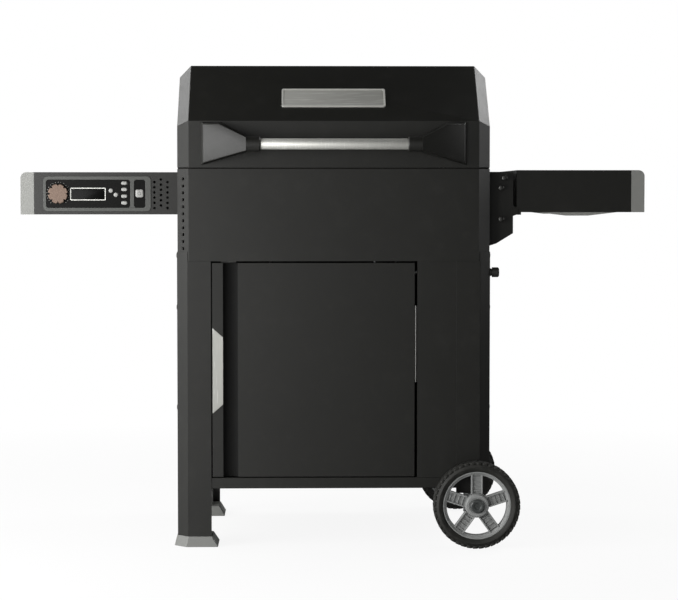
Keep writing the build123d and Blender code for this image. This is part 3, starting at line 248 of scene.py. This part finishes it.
plasticLook = {"dark": (0.172, 0.174, 0.162), "light": (0.206, 0.208, 0.195), "rubbed": (0.34, 0.34, 0.32),
               "grain": 1300, "rough": 0.42, "specular": 0.45, "metal": 0.0, "relief": 0.35}
greyPlastic = mouldedPlastic("greyMouldedEndCaps", plasticLook)
footPlastic = mouldedPlastic("greyMouldedFeet", {
    **plasticLook, "dark": (0.130, 0.133, 0.125), "light": (0.160, 0.163, 0.154)})
hubPlastic = mouldedPlastic("charcoalHubCap", {
    **plasticLook, "dark": (0.030, 0.033, 0.032), "light": (0.050, 0.054, 0.053), "rough": 0.30})
blackPlastic = mouldedPlastic("blackMouldedNylon", {
    **plasticLook, "dark": (0.010, 0.010, 0.009), "light": (0.016, 0.016, 0.014),
    "rubbed": (0.05, 0.05, 0.047)})
bezelPlastic = mouldedPlastic("charcoalBezel", {
    **plasticLook, "dark": (0.030, 0.032, 0.028), "light": (0.056, 0.058, 0.053),
    "rubbed": (0.10, 0.10, 0.095)})
buttonPlastic = mouldedPlastic("silverGreyButtons", {
    **plasticLook, "dark": (0.24, 0.24, 0.23), "light": (0.30, 0.30, 0.285), "rubbed": (0.40, 0.40, 0.38),
    "grain": 2400, "rough": 0.3})
rimSilver = mouldedPlastic("silverGreyWheelPlastic", {
    **plasticLook, "dark": (0.225, 0.230, 0.225), "light": (0.295, 0.300, 0.295),
    "rubbed": (0.14, 0.14, 0.135), "rough": 0.34, "metal": 0.15})
panelBlack = mouldedPlastic("controlPanelBlack", {
    **plasticLook, "dark": (0.0016, 0.0016, 0.0013), "light": (0.0026, 0.0026, 0.0022),
    "rubbed": (0.008, 0.008, 0.007), "grain": 3000, "rough": 0.30, "relief": 0.12, "specular": 0.08})


def tyreRubber():
    fin = Finish("tyreRubber")
    dust = fin.ramp(fin.noise(60, 7, 0.72), (0.45, 0), (0.80, 1))
    skin = fin.noise(1500, 4, 0.7)
    colour = fin.blend(dust * 0.32, (0.013, 0.013, 0.011), (0.062, 0.060, 0.054))
    return fin.set(colour=colour, rough=dust * 0.18 + 0.62, specular=0.35,
                   normal=fin.relief(skin + dust * 0.5, 0.4, 0.0002))


# Braided seal fibre, coloured near-black partly as its own colour and partly as painted shade for the shadowed
# seam between lid and firebox
def sealWithSeamShade():
    fin = Finish("sealFibreAndSeamShade")
    across = fin.node("ShaderNodeTexWave", {"bands_direction": "DIAGONAL"},
                      {"Vector": fin.point(), "Scale": 260, "Distortion": 1.2})
    fuzz = fin.noise(1800, 3)
    # Near-black fibre colour: part real fibre, part painted shadow in the seam
    colour = fin.blend(across, (0.004, 0.004, 0.0038), (0.018, 0.017, 0.016))
    return fin.set(colour=colour, rough=0.9, specular=0.0,
                   normal=fin.relief(across + fuzz * 0.5, 0.6, 0.0005))


def printedBoard():
    fin = Finish("printedBoardGreen")
    tracks = fin.bricks(120, {"Mortar Size": 0.035}, offset=0.5)
    return fin.set(colour=fin.blend(tracks, (0.010, 0.055, 0.026), (0.06, 0.16, 0.06)), rough=0.35,
                   coat=0.3, normal=fin.relief(tracks, 0.2, 0.00005))


def turnedCopper(centre):
    fin = Finish("satinCopperDial")
    place = fin.point(centre=centre, stretch=(1, 0, 1))
    radius = fin.node("ShaderNodeVectorMath", {"operation": "LENGTH"}, {0: place}, out=1)
    rings = (radius * 5200).maths("SINE", radius * 5200) * 0.5 + 0.5
    wear = fin.noise(240, 5, 0.7)
    colour = fin.blend(wear, (0.060, 0.038, 0.027), (0.150, 0.105, 0.080))
    return fin.set(colour=colour, metal=0.6, rough=rings * 0.08 + wear * 0.16 + 0.30,
                   normal=fin.relief(rings + wear * 0.4, 0.15, 0.00006))


def smokedGlass():
    fin = Finish("smokedDisplayGlass")
    grime = fin.noise(90, 6, 0.7)
    rows = fin.bricks(1500, {"Mortar Size": 0.05, "Brick Width": 0.5, "Row Height": 0.5}, offset=0.0)
    colour = fin.blend(rows, (0.0012, 0.0014, 0.0012), (0.0024, 0.0026, 0.0024))
    return fin.set(colour=colour, rough=grime * 0.10 + 0.16, specular=0.05,
                   normal=fin.relief(grime, 0.05, 0.0001))


print("finishes ready")


# CAD nodes that keep their own shape
dialLow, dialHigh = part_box("dial")
dialMiddle = (dialLow + dialHigh) / 2
dressed = {
    blackPaint: ["lid_wrap", "lid_ends", "firebox_walls", "left_legs", "right_legs", "cabinet_panels",
                 "bottom_shelf", "left_shelf_fascia", "left_shelf_housing", "right_shelf", "shelf_brackets"],
    doorPaintWithGrooveShade: ["door_panel"],
    barSteel: ["handle_bar"],
    plateSteel: ["badge_plate"],
    pullSteel: ["door_pull_plate"],
    greyPlastic: ["left_shelf_end_cap", "right_shelf_end_cap", "right_shelf_braces"],
    footPlastic: ["feet"],
    blackPlastic: ["damper_knob", "rod_bushing", "blower", "fan_wheel", "power_inlet"],
    bezelPlastic: ["control_bezel"],
    panelBlack: ["control_face"],
    zinc: ["ash_bin", "ash_damper", "damper_and_bin_rails", "charcoal_basket", "heat_plates", "warming_rack",
           "igniter", "temperature_probe", "air_duct", "axle", "axle_hardware",
           "lid_hinge_leaves", "lid_hinge_frame_leaves"],
    boltZinc: ["door_frame_hardware", "door_hinge_leaf"],
    castIron(): ["cooking_grates"],
    enamel(): ["firebox_floor"],
    sealWithSeamShade(): ["rim_gasket"],
    printedBoard(): ["circuit_board"],
}
for finish, names in dressed.items():
    for name in names:
        for index in range(len(nodes[name].material_slots)):
            nodes[name].material_slots[index].material = finish

# Rounded sheet edges: loose faces are joined first, then every sharp edge is eased
easedEdges = {"lid_wrap": 0.0009, "lid_ends": 0.0009, "left_legs": 0.0010, "right_legs": 0.0010,
              "bottom_shelf": 0.0016, "door_panel": 0.0006, "badge_plate": 0.0006, "door_pull_plate": 0.0004,
              "handle_bar": 0.0012, "left_shelf_end_cap": 0.0022,
              "right_shelf_end_cap": 0.0022, "right_shelf_braces": 0.0012, "feet": 0.0024,
              "control_bezel": 0.0007, "left_shelf_housing": 0.0006, "right_shelf": 0.0006}
for name, width in easedEdges.items():
    weld = nodes[name].modifiers.new("weld", "WELD")
    weld.merge_threshold = 0.00001
    ease = nodes[name].modifiers.new("ease", "BEVEL")
    ease.width = width
    ease.segments = 2
    ease.limit_method = "ANGLE"
    ease.angle_limit = radians(32)
    ease.harden_normals = True
print("CAD nodes dressed")


# A finished bmesh becomes a piece that rides on a body
def makePiece(name, bm, finish, body, stands=(), place=None, smooth=38):
    bmesh.ops.remove_doubles(bm, verts=bm.verts[:], dist=1e-6)
    bmesh.ops.recalc_face_normals(bm, faces=bm.faces[:])
    if place is not None:
        bmesh.ops.transform(bm, matrix=place, verts=bm.verts[:])
    for face in bm.faces:
        face.smooth = True
    for edge in bm.edges:
        edge.smooth = len(edge.link_faces) == 2 and edge.calc_face_angle(0) < radians(smooth)
    mesh = bpy.data.meshes.new(name)
    bm.to_mesh(mesh)
    bm.free()
    mesh.materials.append(finish)
    piece = bpy.data.objects.new(name, mesh)
    bpy.context.scene.collection.objects.link(piece)
    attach(piece, body)
    if stands:
        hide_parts(*stands)
    return piece


# Closed ring from a (radius, along) outline, turned about Y
def turnedRing(bm, outline, steps):
    verts = [bm.verts.new((radius, along, 0)) for radius, along in outline]
    edges = [bm.edges.new(pair) for pair in zip(verts, verts[1:] + verts[:1])]
    bmesh.ops.spin(bm, geom=verts + edges, cent=(0, 0, 0), axis=(0, 1, 0), angle=2 * pi, steps=steps,
                   use_merge=True, use_duplicate=False)
    bmesh.ops.remove_doubles(bm, verts=bm.verts[:], dist=1e-7)


# Box by its size and middle, with eased edges, turned by a matrix
def easedBox(bm, size, middle, ease, matrix=Matrix.Identity(4)):
    made = bmesh.ops.create_cube(bm, size=1)["verts"]
    bmesh.ops.scale(bm, vec=size, verts=made)
    bmesh.ops.translate(bm, vec=middle, verts=made)
    bmesh.ops.transform(bm, matrix=matrix, verts=made)
    if ease:
        edges = list({edge for vert in made for edge in vert.link_edges})
        bmesh.ops.bevel(bm, geom=edges, offset=ease, offset_type="OFFSET", segments=1, profile=0.5,
                        affect="EDGES", material=-1)


# Plate outline with round corners, facing +Z at height 0
def roundedFace(bm, width, height, corner, steps):
    corner = min(corner, width / 2, height / 2)
    made = bmesh.ops.create_circle(bm, cap_ends=True, cap_tris=False, segments=4 * steps,
                                   radius=corner)["verts"]
    bmesh.ops.rotate(bm, cent=(0, 0, 0), matrix=Matrix.Rotation(pi / (4 * steps), 3, "Z"), verts=made)
    for vert in made:
        vert.co.x += (width / 2 - corner) * (1 if vert.co.x > 0 else -1)
        vert.co.y += (height / 2 - corner) * (1 if vert.co.y > 0 else -1)
    return made[0].link_faces[0]


def raiseFace(bm, face, height, inset=0.0):
    if inset:
        bmesh.ops.inset_region(bm, faces=[face], thickness=inset, use_even_offset=True)
        face.normal_update()
        bmesh.ops.translate(bm, vec=(0, 0, height), verts=face.verts[:])
        return face
    grown = bmesh.ops.extrude_face_region(bm, geom=[face])["geom"]
    top = [item for item in grown if isinstance(item, bmesh.types.BMFace)][0]
    bmesh.ops.translate(bm, vec=(0, 0, height), verts=top.verts[:])
    return top


# The same for an outline with hollows in it, which is drawn in towards its middle
def drawIn(bm, face, height, inset, radius):
    face = raiseFace(bm, face, height)
    share = 1 - inset / radius
    bmesh.ops.scale(bm, vec=(share, share, 1), verts=face.verts[:])
    return face


def facingFront(x, y, z):
    return Matrix.Translation((x, y, z)) @ Matrix.Rotation(pi / 2, 4, "X")


# Lid handle arms: faceted wedges that rise from the lid to a round collar on the bar
armShape = {"outerEdge": 0.010, "shoulder": 0.044, "side": 0.006, "ease": 0.0016, "collar": 0.032}


def makeArms():
    low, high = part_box("handle_arms")
    barLow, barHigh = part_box("handle_bar")
    axis = Vector((0, (barLow.y + barHigh.y) / 2, (barLow.z + barHigh.z) / 2))
    radius = axis.y - low.y
    inner = barLow.x - 0.003
    side = armShape["side"]
    root = [(low.x, low.z), (low.x, high.z), (low.x + armShape["shoulder"], high.z), (inner, axis.z + radius),
            (inner, axis.z - radius)]
    face = [(low.x + side, low.z + side), (low.x + side, high.z - side),
            (low.x + armShape["shoulder"] - side * 0.2, high.z - side), (inner, axis.z + radius - side * 0.5),
            (inner, axis.z - radius + side * 0.5)]
    rise = (high.y - armShape["outerEdge"] - low.y - 0.0005) / (inner - low.x - side)
    bm = bmesh.new()
    loops = []
    outer = high.y - armShape["outerEdge"]
    for points, flat in ((root, True), (face, False)):
        loops.append(bm.faces.new([bm.verts.new((x, high.y if flat else outer - (x - low.x - side) * rise, z))
                                   for x, z in points]))
    edges = [edge for loop in loops for edge in loop.edges]
    bmesh.ops.bridge_loops(bm, edges=edges)
    bmesh.ops.recalc_face_normals(bm, faces=bm.faces[:])
    easy = [edge for edge in bm.edges if all(vert.co.x < inner - 0.001 for vert in edge.verts) or
            all(vert.co.y < high.y - 0.001 for vert in edge.verts)]
    bmesh.ops.bevel(bm, geom=easy, offset=armShape["ease"], offset_type="OFFSET", segments=2, profile=0.5,
                    affect="EDGES", material=-1)
    reach, bore = armShape["collar"], (barHigh.z - barLow.z) / 2 + 0.0001
    grip = bmesh.new()
    turnedRing(grip, [(0.001, 0), (radius - 0.0005, 0), (radius - 0.0005, reach - 0.002),
                      (radius - 0.002, reach), (bore, reach), (bore, 0.004), (0.001, 0.004)], 40)
    bmesh.ops.transform(grip, matrix=Matrix.Translation((inner - 0.0002, axis.y, axis.z)) @
                        Matrix.Rotation(-pi / 2, 4, "Z"), verts=grip.verts[:])
    spare = bpy.data.meshes.new("collar")
    grip.to_mesh(spare)
    grip.free()
    bm.from_mesh(spare)
    bpy.data.meshes.remove(spare)
    bmesh.ops.mirror(bm, geom=bm.verts[:] + bm.edges[:] + bm.faces[:], matrix=Matrix.Identity(4), merge_dist=0,
                     axis="X")
    makePiece("handleArms", bm, castPaint, "lid", ["handle_arms"], smooth=30)


makeArms()


# Bare field inside the badge plate's raised border, a little duller than the border
badgeShape = {"height": 0.062, "border": 0.0046, "lift": 0.0004, "corner": 0.002, "proud": 0.0007,
              "tilt": atan(134 / 145)}


def makeBadgeField():
    low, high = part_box("badge_plate")
    width = high.x - low.x
    border = 2 * badgeShape["border"]
    bm = bmesh.new()
    face = roundedFace(bm, width - border, badgeShape["height"] - border, badgeShape["corner"], 5)
    raiseFace(bm, raiseFace(bm, face, badgeShape["lift"] * 0.5), badgeShape["lift"] * 0.5, 0.0006)
    place = (Matrix.Translation((low + high) / 2) @ Matrix.Rotation(badgeShape["tilt"], 4, "X") @
             Matrix.Translation((0, 0, badgeShape["proud"])))
    makePiece("badgeField", bm, fieldSteel, "lid", (), place)


makeBadgeField()
print("handle and badge made")


# Tyre: rounded carcass, a step on each side wall and zigzag lugs
tyreShape = {"depth": 0.0222, "lugs": 44, "lugDepth": 0.0018, "lugWidth": 0.0100, "lugSlant": 0.55,
             "sideBulge": 0.0012}


def makeTyre(name, node, body):
    low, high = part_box(node)
    radius, half = (high.z - low.z) / 2, (high.y - low.y) / 2
    inner = radius - tyreShape["depth"]
    base = radius - tyreShape["lugDepth"]
    bulge = tyreShape["sideBulge"]
    side = [(inner, half - 0.0060), (inner + 0.0015, half - 0.0035), (inner + 0.0045, half - 0.0024),
            (inner + 0.0055, half - 0.0012), (inner + 0.0105, half - bulge * 0.3),
            (inner + 0.0115, half - 0.0014), (base - 0.0065, half - 0.0022), (base - 0.0022, half - 0.0050),
            (base, half - 0.0095)]
    bm = bmesh.new()
    turnedRing(bm, side + [(r, -y) for r, y in reversed(side)], 96)
    for number in range(tyreShape["lugs"]):
        for way in (-1, 1):
            slant = Matrix.Identity(4)
            slant[0][1] = tyreShape["lugSlant"] * way
            turn = (number + (0.5 if way > 0 else 0)) * 2 * pi / tyreShape["lugs"]
            shape = Matrix.Rotation(turn, 4, "Y") @ Matrix.Translation((0, way * (half * 0.44), radius)) @ slant
            easedBox(bm, (tyreShape["lugWidth"], half * 0.80, 0.0060), (0, 0, -0.0034), 0.0005, shape)
    middle = (low + high) / 2
    makePiece(name, bm, rubber, body, [node], Matrix.Translation(middle), smooth=50)


rubber = tyreRubber()
makeTyre("frontTyre", "front_tyre", "front_wheel")
makeTyre("rearTyre", "rear_tyre", "rear_wheel")


# Wheel centre: dished ring, stepped hub, five ribbed channel spokes and a hub cap
wheelShape = {"spokes": 5, "spokeWidth": 0.0265, "spokeDepth": 0.0150, "wall": 0.0034, "ribs": 4,
              "ring": 0.0085, "capRadius": 0.016}


def makeRim(name, node, body, front):
    low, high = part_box(node)
    tyreLow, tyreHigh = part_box(node.replace("rim", "tyre"))
    outer = (high.z - low.z) / 2
    half = (tyreHigh.y - tyreLow.y) / 2
    reach = (tyreLow.y - low.y) if front < 0 else (high.y - tyreHigh.y)
    middle = (tyreLow + tyreHigh) / 2
    bm = bmesh.new()
    edge = half - 0.0050
    ring = wheelShape["ring"]
    turnedRing(bm, [(outer, -edge), (outer, edge), (outer - 0.0022, edge), (outer - ring * 0.4, edge - 0.003),
                    (outer - ring, edge - 0.007), (outer - ring, -edge + 0.007),
                    (outer - ring * 0.4, -edge + 0.003), (outer - 0.0022, -edge)], 80)
    turnedRing(bm, [(0.0066, -half + 0.001), (0.0175, -half + 0.001), (0.0185, -half), (0.0240, -half),
                    (0.0262, -half + 0.0025), (0.0280, -half + 0.0075), (0.0280, half - 0.004),
                    (0.0262, half - 0.001), (0.0240, half), (0.0066, half)], 56)
    wall, width, depth = wheelShape["wall"], wheelShape["spokeWidth"], wheelShape["spokeDepth"]
    start, end = 0.0262, outer - ring + 0.001
    inside = width - 2 * wall + 0.001
    face = -half + 0.0090
    for number in range(wheelShape["spokes"]):
        turn = Matrix.Rotation(number * 2 * pi / wheelShape["spokes"], 4, "Y")
        for x in (-width / 2 + wall / 2, width / 2 - wall / 2):
            easedBox(bm, (wall, depth, end - start), (x, face + depth / 2, (start + end) / 2), 0.0006, turn)
        easedBox(bm, (inside, depth * 0.35, end - start),
                 (0, face + depth * 0.62, (start + end) / 2), 0, turn)
        for rib in range(wheelShape["ribs"]):
            z = start + (end - start) * (rib + 0.8) / (wheelShape["ribs"] + 0.4)
            easedBox(bm, (inside, depth * 0.30, 0.0022), (0, face + depth * 0.34, z), 0.0004, turn)
    place = Matrix.Translation(middle) @ (Matrix.Identity(4) if front < 0 else Matrix.Rotation(pi, 4, "Z"))
    makePiece(name, bm, rimSilver, body, [node], place, smooth=34)
    cap = wheelShape["capRadius"]
    tip = -half - reach
    bm = bmesh.new()
    turnedRing(bm, [(0.0002, tip + 0.0030), (cap * 0.40, tip + 0.0030), (cap * 0.46, tip + 0.0012),
                    (cap * 0.62, tip), (cap * 0.84, tip + 0.0003), (cap * 0.95, tip + 0.0018),
                    (cap, tip + 0.0050), (cap, -half), (cap - 0.002, -half), (cap - 0.002, tip + 0.0050),
                    (0.0002, tip + 0.0050)], 48)
    makePiece(name.replace("Centre", "Cap"), bm, hubPlastic, body, (), place, smooth=34)


makeRim("frontWheelCentre", "front_rim", "front_wheel", -1)
makeRim("rearWheelCentre", "rear_rim", "rear_wheel", 1)
print("wheels made")


# Dial: scalloped grip, eased rim and a dished face with a pointer groove
dialShape = {"notches": 8, "notchDepth": 0.0044, "height": 0.0102, "rim": 0.0016, "dish": 0.0012}


def makeDial():
    radius = (dialHigh.x - dialLow.x) / 2 - 0.0002
    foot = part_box("control_face")[0].y - 0.0003
    bm = bmesh.new()
    made = bmesh.ops.create_circle(bm, cap_ends=True, cap_tris=False, segments=160, radius=radius)["verts"]
    for vert in made:
        angle = Vector((vert.co.x, vert.co.y)).angle_signed(Vector((1, 0)), 0)
        dip = max(0.0, cos(angle * dialShape["notches"])) ** 4
        vert.co.xy *= 1 - dialShape["notchDepth"] * dip / radius
    face = raiseFace(bm, made[0].link_faces[0], dialShape["height"] - dialShape["rim"])
    rim, dish = dialShape["rim"], dialShape["dish"]
    steps = [(rim * 0.62, rim * 0.38), (rim * 0.38, rim * 0.62), (-dish * 0.2, 0.0034), (-dish, 0.0007),
             (dish * 0.5, 0.0110)]
    for height, inset in steps:
        face = drawIn(bm, face, height, inset, radius)
        radius -= inset
    easedBox(bm, (0.0016, 0.0062, 0.0010), (0, 0.0145, dialShape["height"] - 0.0011), 0.0003)
    makePiece("controlDial", bm, turnedCopper(dialMiddle), "control_dial", ["dial"],
              facingFront(dialMiddle.x, foot, dialMiddle.z), smooth=30)


makeDial()


# Push buttons: crowned caps on the shape of their openings
buttonShape = {"crown": 0.0005, "ease": 0.0007}


def makeButton(node):
    low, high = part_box(node)
    flange = 0.0015
    width, height = high.x - low.x - 2 * flange, high.z - low.z - 2 * flange
    corner = 0.004 if node == "power_button" else min(width, height) / 2
    bm = bmesh.new()
    face = roundedFace(bm, width, height, corner, 10)
    depth = high.y - low.y
    face = raiseFace(bm, face, depth - buttonShape["ease"] - buttonShape["crown"])
    face = raiseFace(bm, face, buttonShape["ease"] * 0.7, buttonShape["ease"] * 0.4)
    face = raiseFace(bm, face, buttonShape["ease"] * 0.3 + buttonShape["crown"] * 0.5, buttonShape["ease"])
    face = raiseFace(bm, face, buttonShape["crown"] * 0.5, min(width, height) * 0.16)
    middle = (low + high) / 2
    makePiece(node + "_cap", bm, buttonPlastic, node, [node],
              facingFront(middle.x, high.y, middle.z), smooth=30)


for node in sorted(nodes):
    if "button" in node:
        makeButton(node)


# Marks on the panel: the power sign and dots round the dial
def flatFinish(name, colour):
    fin = Finish(name)
    grain = fin.noise(2200, 3)
    return fin.set(colour=fin.blend(grain, colour, tuple(c * 1.25 for c in colour)), rough=grain * 0.2 + 0.4,
                   normal=fin.relief(grain, 0.1, 0.00005))


printDark = flatFinish("darkPrint", (0.012, 0.012, 0.011))
printPale = flatFinish("palePrint", (0.30, 0.29, 0.27))


def makePowerSign():
    low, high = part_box("power_button")
    bm = bmesh.new()
    bore = bmesh.ops.create_circle(bm, cap_ends=False, segments=40, radius=0.0040)["verts"]
    edges = list({edge for vert in bore for edge in vert.link_edges})
    grown = bmesh.ops.extrude_edge_only(bm, edges=edges)["geom"]
    inner = [item for item in grown if isinstance(item, bmesh.types.BMVert)]
    bmesh.ops.scale(bm, vec=(0.78, 0.78, 1), verts=inner)
    gap = [face for face in bm.faces if face.calc_center_median().y > 0.0027]
    bmesh.ops.delete(bm, geom=gap, context="FACES")
    bar = bmesh.ops.create_grid(bm, x_segments=1, y_segments=1, size=0.5)["verts"]
    bmesh.ops.scale(bm, vec=(0.0009, 0.0038, 1), verts=bar)
    bmesh.ops.translate(bm, vec=(0, 0.0032, 0), verts=bar)
    bmesh.ops.solidify(bm, geom=bm.faces[:], thickness=0.0001)
    middle = (low + high) / 2
    makePiece("powerSign", bm, printDark, "power_button", (),
              facingFront(middle.x, low.y - 0.00002, middle.z))


def makeDialDots():
    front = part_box("control_face")[0].y
    bm = bmesh.new()
    for number in range(21):
        angle = radians(-50 + number * 14)
        made = bmesh.ops.create_circle(bm, cap_ends=True, segments=10, radius=0.00065)["verts"]
        bmesh.ops.translate(bm, vec=(0.0268 * cos(angle), 0.0268 * sin(angle), 0), verts=made)
    bmesh.ops.solidify(bm, geom=bm.faces[:], thickness=0.00008)
    makePiece("dialScaleDots", bm, printPale, "cart", (),
              facingFront(dialMiddle.x, front - 0.00002, dialMiddle.z))


makePowerSign()
makeDialDots()


# Display: bright raised frame round smoked glass
def makeDisplay():
    low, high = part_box("display")
    middle = (low + high) / 2
    width, height, depth = high.x - low.x, high.z - low.z, high.y - low.y
    bm = bmesh.new()
    face = roundedFace(bm, width, height, 0.0022, 6)
    face = raiseFace(bm, face, depth * 0.6)
    face = raiseFace(bm, face, depth * 0.4, 0.0005)
    face = raiseFace(bm, face, 0, 0.0015)
    face = raiseFace(bm, face, -depth * 0.55, 0.0004)
    bmesh.ops.delete(bm, geom=[face], context="FACES_ONLY")
    makePiece("displayFrame", bm, plateSteel, "cart", ["display"],
              facingFront(middle.x, high.y, middle.z), smooth=30)
    bm = bmesh.new()
    face = roundedFace(bm, width - 0.0036, height - 0.0036, 0.0012, 6)
    face = raiseFace(bm, face, depth * 0.45)
    face = raiseFace(bm, face, 0.0001, 0.0004)
    makePiece("displayGlass", bm, smokedGlass(), "cart", (),
              facingFront(middle.x, high.y - 0.0001, middle.z), smooth=30)


makeDisplay()
print("controls made")


# Domed screws with a six-sided socket on the legs and brackets
screwShape = {"radius": 0.0065, "height": 0.0024, "socket": 0.0022, "socketDepth": 0.0012,
              "legHeights": (0.673, 0.553, 0.320), "legInset": 0.0477,
              "bracketSpots": ((0.0360, 0.0140), (0.0285, 0.0370), (0.0285, 0.1100))}


def addScrew(bm, place, turn):
    made = bmesh.ops.create_circle(bm, cap_ends=True, cap_tris=False, segments=24,
                                   radius=screwShape["radius"])["verts"]
    face = made[0].link_faces[0]
    height = screwShape["height"]
    before = set(bm.verts) - set(made)
    face = raiseFace(bm, face, height * 0.35)
    face = raiseFace(bm, face, height * 0.35, screwShape["radius"] * 0.12)
    face = raiseFace(bm, face, height * 0.22, screwShape["radius"] * 0.22)
    face = raiseFace(bm, face, height * 0.08, screwShape["radius"] * 0.24)
    socket = raiseFace(bm, face, 0, screwShape["radius"] * 0.42 - screwShape["socket"] * 0.5)
    raiseFace(bm, socket, -screwShape["socketDepth"])
    fresh = [vert for vert in bm.verts if vert not in before]
    bmesh.ops.transform(bm, matrix=place @ turn, verts=fresh)


def makeScrews():
    legLow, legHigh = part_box("left_legs")[0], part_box("right_legs")[1]
    low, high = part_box("screws")
    bracketLow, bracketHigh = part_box("shelf_brackets")
    side = screwShape["legInset"] + legLow.y
    bm = bmesh.new()
    for z in screwShape["legHeights"]:
        for y in (side, legHigh.y + legLow.y - side):
            addScrew(bm, Matrix.Translation((legLow.x, y, z)), Matrix.Rotation(-pi / 2, 4, "Y"))
            addScrew(bm, Matrix.Translation((legHigh.x, y, z)), Matrix.Rotation(pi / 2, 4, "Y"))
    for x, drop in screwShape["bracketSpots"]:
        z = bracketHigh.z - drop
        addScrew(bm, Matrix.Translation((bracketLow.x + x, low.y + screwShape["height"], z)),
                 Matrix.Rotation(pi / 2, 4, "X"))
        addScrew(bm, Matrix.Translation((bracketLow.x + x, high.y - screwShape["height"], z)),
                 Matrix.Rotation(-pi / 2, 4, "X"))
    makePiece("domedScrews", bm, boltZinc, "cart", ["screws"], smooth=28)


makeScrews()
print("screws made")


# Floor and air: white where they are seen or mirrored, plain where they light the cart
stageLook = {"air": 0.24, "mirroredLeft": 1.0, "mirroredRight": 0.06, "mirroredOverhead": 0.12,
             "floorSize": 40.0, "floorWhite": 0.80, "floorGlow": 0.90}
world = bpy.data.worlds.new("studioAir")
bpy.context.scene.world = world
air = Finish("studioAir", world)
airPath = {ray: air.node("ShaderNodeLightPath", out=ray) for ray in ("Is Camera Ray", "Is Glossy Ray",
                                                                    "Is Transmission Ray")}
facing = air.node("ShaderNodeTexCoord")
ways = {way: air.node("ShaderNodeSeparateXYZ", {}, {0: facing}, out=way) for way in "XZ"}
aside = air.node("ShaderNodeMapRange", {"interpolation_type": "SMOOTHSTEP"},
                 {"Value": ways["X"], "From Min": -0.11, "From Max": 0.10, "To Min": stageLook["mirroredLeft"],
                  "To Max": stageLook["mirroredRight"]})
overhead = air.node("ShaderNodeMapRange", {"interpolation_type": "SMOOTHSTEP"},
                    {"Value": ways["Z"], "From Min": 0.10, "From Max": 0.75, "To Min": 1.0,
                     "To Max": stageLook["mirroredOverhead"]})
mirrored = airPath["Is Glossy Ray"] * (aside * overhead - stageLook["air"]) + stageLook["air"]
straight = airPath["Is Camera Ray"].maths("MAXIMUM", airPath["Is Camera Ray"], airPath["Is Transmission Ray"])
air.plug(air.shader.inputs["Strength"], straight * (1 - mirrored) + mirrored)
air.plug(air.shader.inputs["Color"], (1, 1, 1))

floorMesh = bmesh.new()
bmesh.ops.create_grid(floorMesh, x_segments=1, y_segments=1, size=stageLook["floorSize"])
bmesh.ops.translate(floorMesh, vec=(0, 0, -0.0002), verts=floorMesh.verts[:])
floorData = bpy.data.meshes.new("studioFloor")
floorMesh.to_mesh(floorData)
floorMesh.free()
floor = bpy.data.objects.new("studioFloor", floorData)
bpy.context.scene.collection.objects.link(floor)
floorFinish = Finish("paleStudioFloor")
floorFinish.set(colour=(stageLook["floorWhite"],) * 3, rough=0.9, specular=0.0)
distance = floorFinish.node("ShaderNodeVectorMath", {"operation": "LENGTH"}, {0: floorFinish.point()}, out=1)
far = floorFinish.node("ShaderNodeMapRange", {}, {"Value": distance, "From Min": 1.0, "From Max": 2.4,
                                                 "To Min": stageLook["floorGlow"], "To Max": 1.0})
floorX = floorFinish.node("ShaderNodeSeparateXYZ", {}, {0: floorFinish.point()})
floorAside = floorFinish.node("ShaderNodeMapRange", {"interpolation_type": "SMOOTHSTEP"},
                              {"Value": floorX, "From Min": -0.72, "From Max": 0.54,
                               "To Min": stageLook["mirroredLeft"], "To Max": stageLook["mirroredRight"]})
onCamera, onGloss, onGlass = [floorFinish.node("ShaderNodeLightPath", out=ray) for ray in airPath]
pale = Wire(floorFinish, floorFinish.shader.outputs[0])
glow = floorFinish.node("ShaderNodeEmission", {}, {"Strength": onGloss * (floorAside - 1) + 1})
mixed = floorFinish.node("ShaderNodeMixShader", {}, {0: (onCamera + onGlass) * far + onGloss, 1: pale, 2: glow})
floorFinish.plug(floorFinish.tree.nodes["Material Output"].inputs["Surface"], mixed)
floorData.materials.append(floorFinish.material)


# Soft boxes: a strong one on the left, one on the right, and two behind for the cut corners of the lid
lamps = {
    "frontSoftBox": {"place": (-1.50, -2.1, 0.65), "aim": (-0.5, 0, 0.55), "size": 1.3, "power": 40},
    "leftSoftBox": {"place": (-2.0, -1.0, 1.0), "aim": (-0.2, 0, 0.6), "size": 1.0, "power": 36},
    "rightSoftBox": {"place": (2.6, -0.25, 1.3), "aim": (0.3, 0, 0.7), "size": 1.0, "power": 12},
    "leftRearSoftBox": {"place": (-1.9, 1.0, 2.4), "aim": (-0.3, -0.2, 1.0), "size": 1.0, "power": 22},
    "rightRearSoftBox": {"place": (1.9, 1.0, 2.4), "aim": (0.3, -0.2, 1.0), "size": 1.0, "power": 30},
}
for name, spec in lamps.items():
    lamp = bpy.data.lights.new(name, "AREA")
    lamp.size = spec["size"]
    lamp.energy = spec["power"]
    light = bpy.data.objects.new(name, lamp)
    bpy.context.scene.collection.objects.link(light)
    light.visible_camera = False
    light.location = spec["place"]
    light.rotation_euler = (Vector(spec["aim"]) - Vector(spec["place"])).to_track_quat("-Z", "Y").to_euler()

# Camera: a long lens a little left of the middle, level with the shelves
cameraSpot = {"x": -0.092, "y": -5.144, "z": 0.820, "lens": 112.4, "down": 2.92, "right": 1.218}
cameraData = bpy.data.cameras.new("camera")
cameraData.lens = cameraSpot["lens"]
cameraData.sensor_width = 36
camera = bpy.data.objects.new("camera", cameraData)
bpy.context.scene.collection.objects.link(camera)
camera.location = (cameraSpot["x"], cameraSpot["y"], cameraSpot["z"])
camera.rotation_euler = (radians(90 - cameraSpot["down"]), 0, radians(-cameraSpot["right"]))
bpy.context.scene.camera = camera
bpy.context.scene.view_settings.view_transform = "Standard"
print("stage, lamps and camera ready")
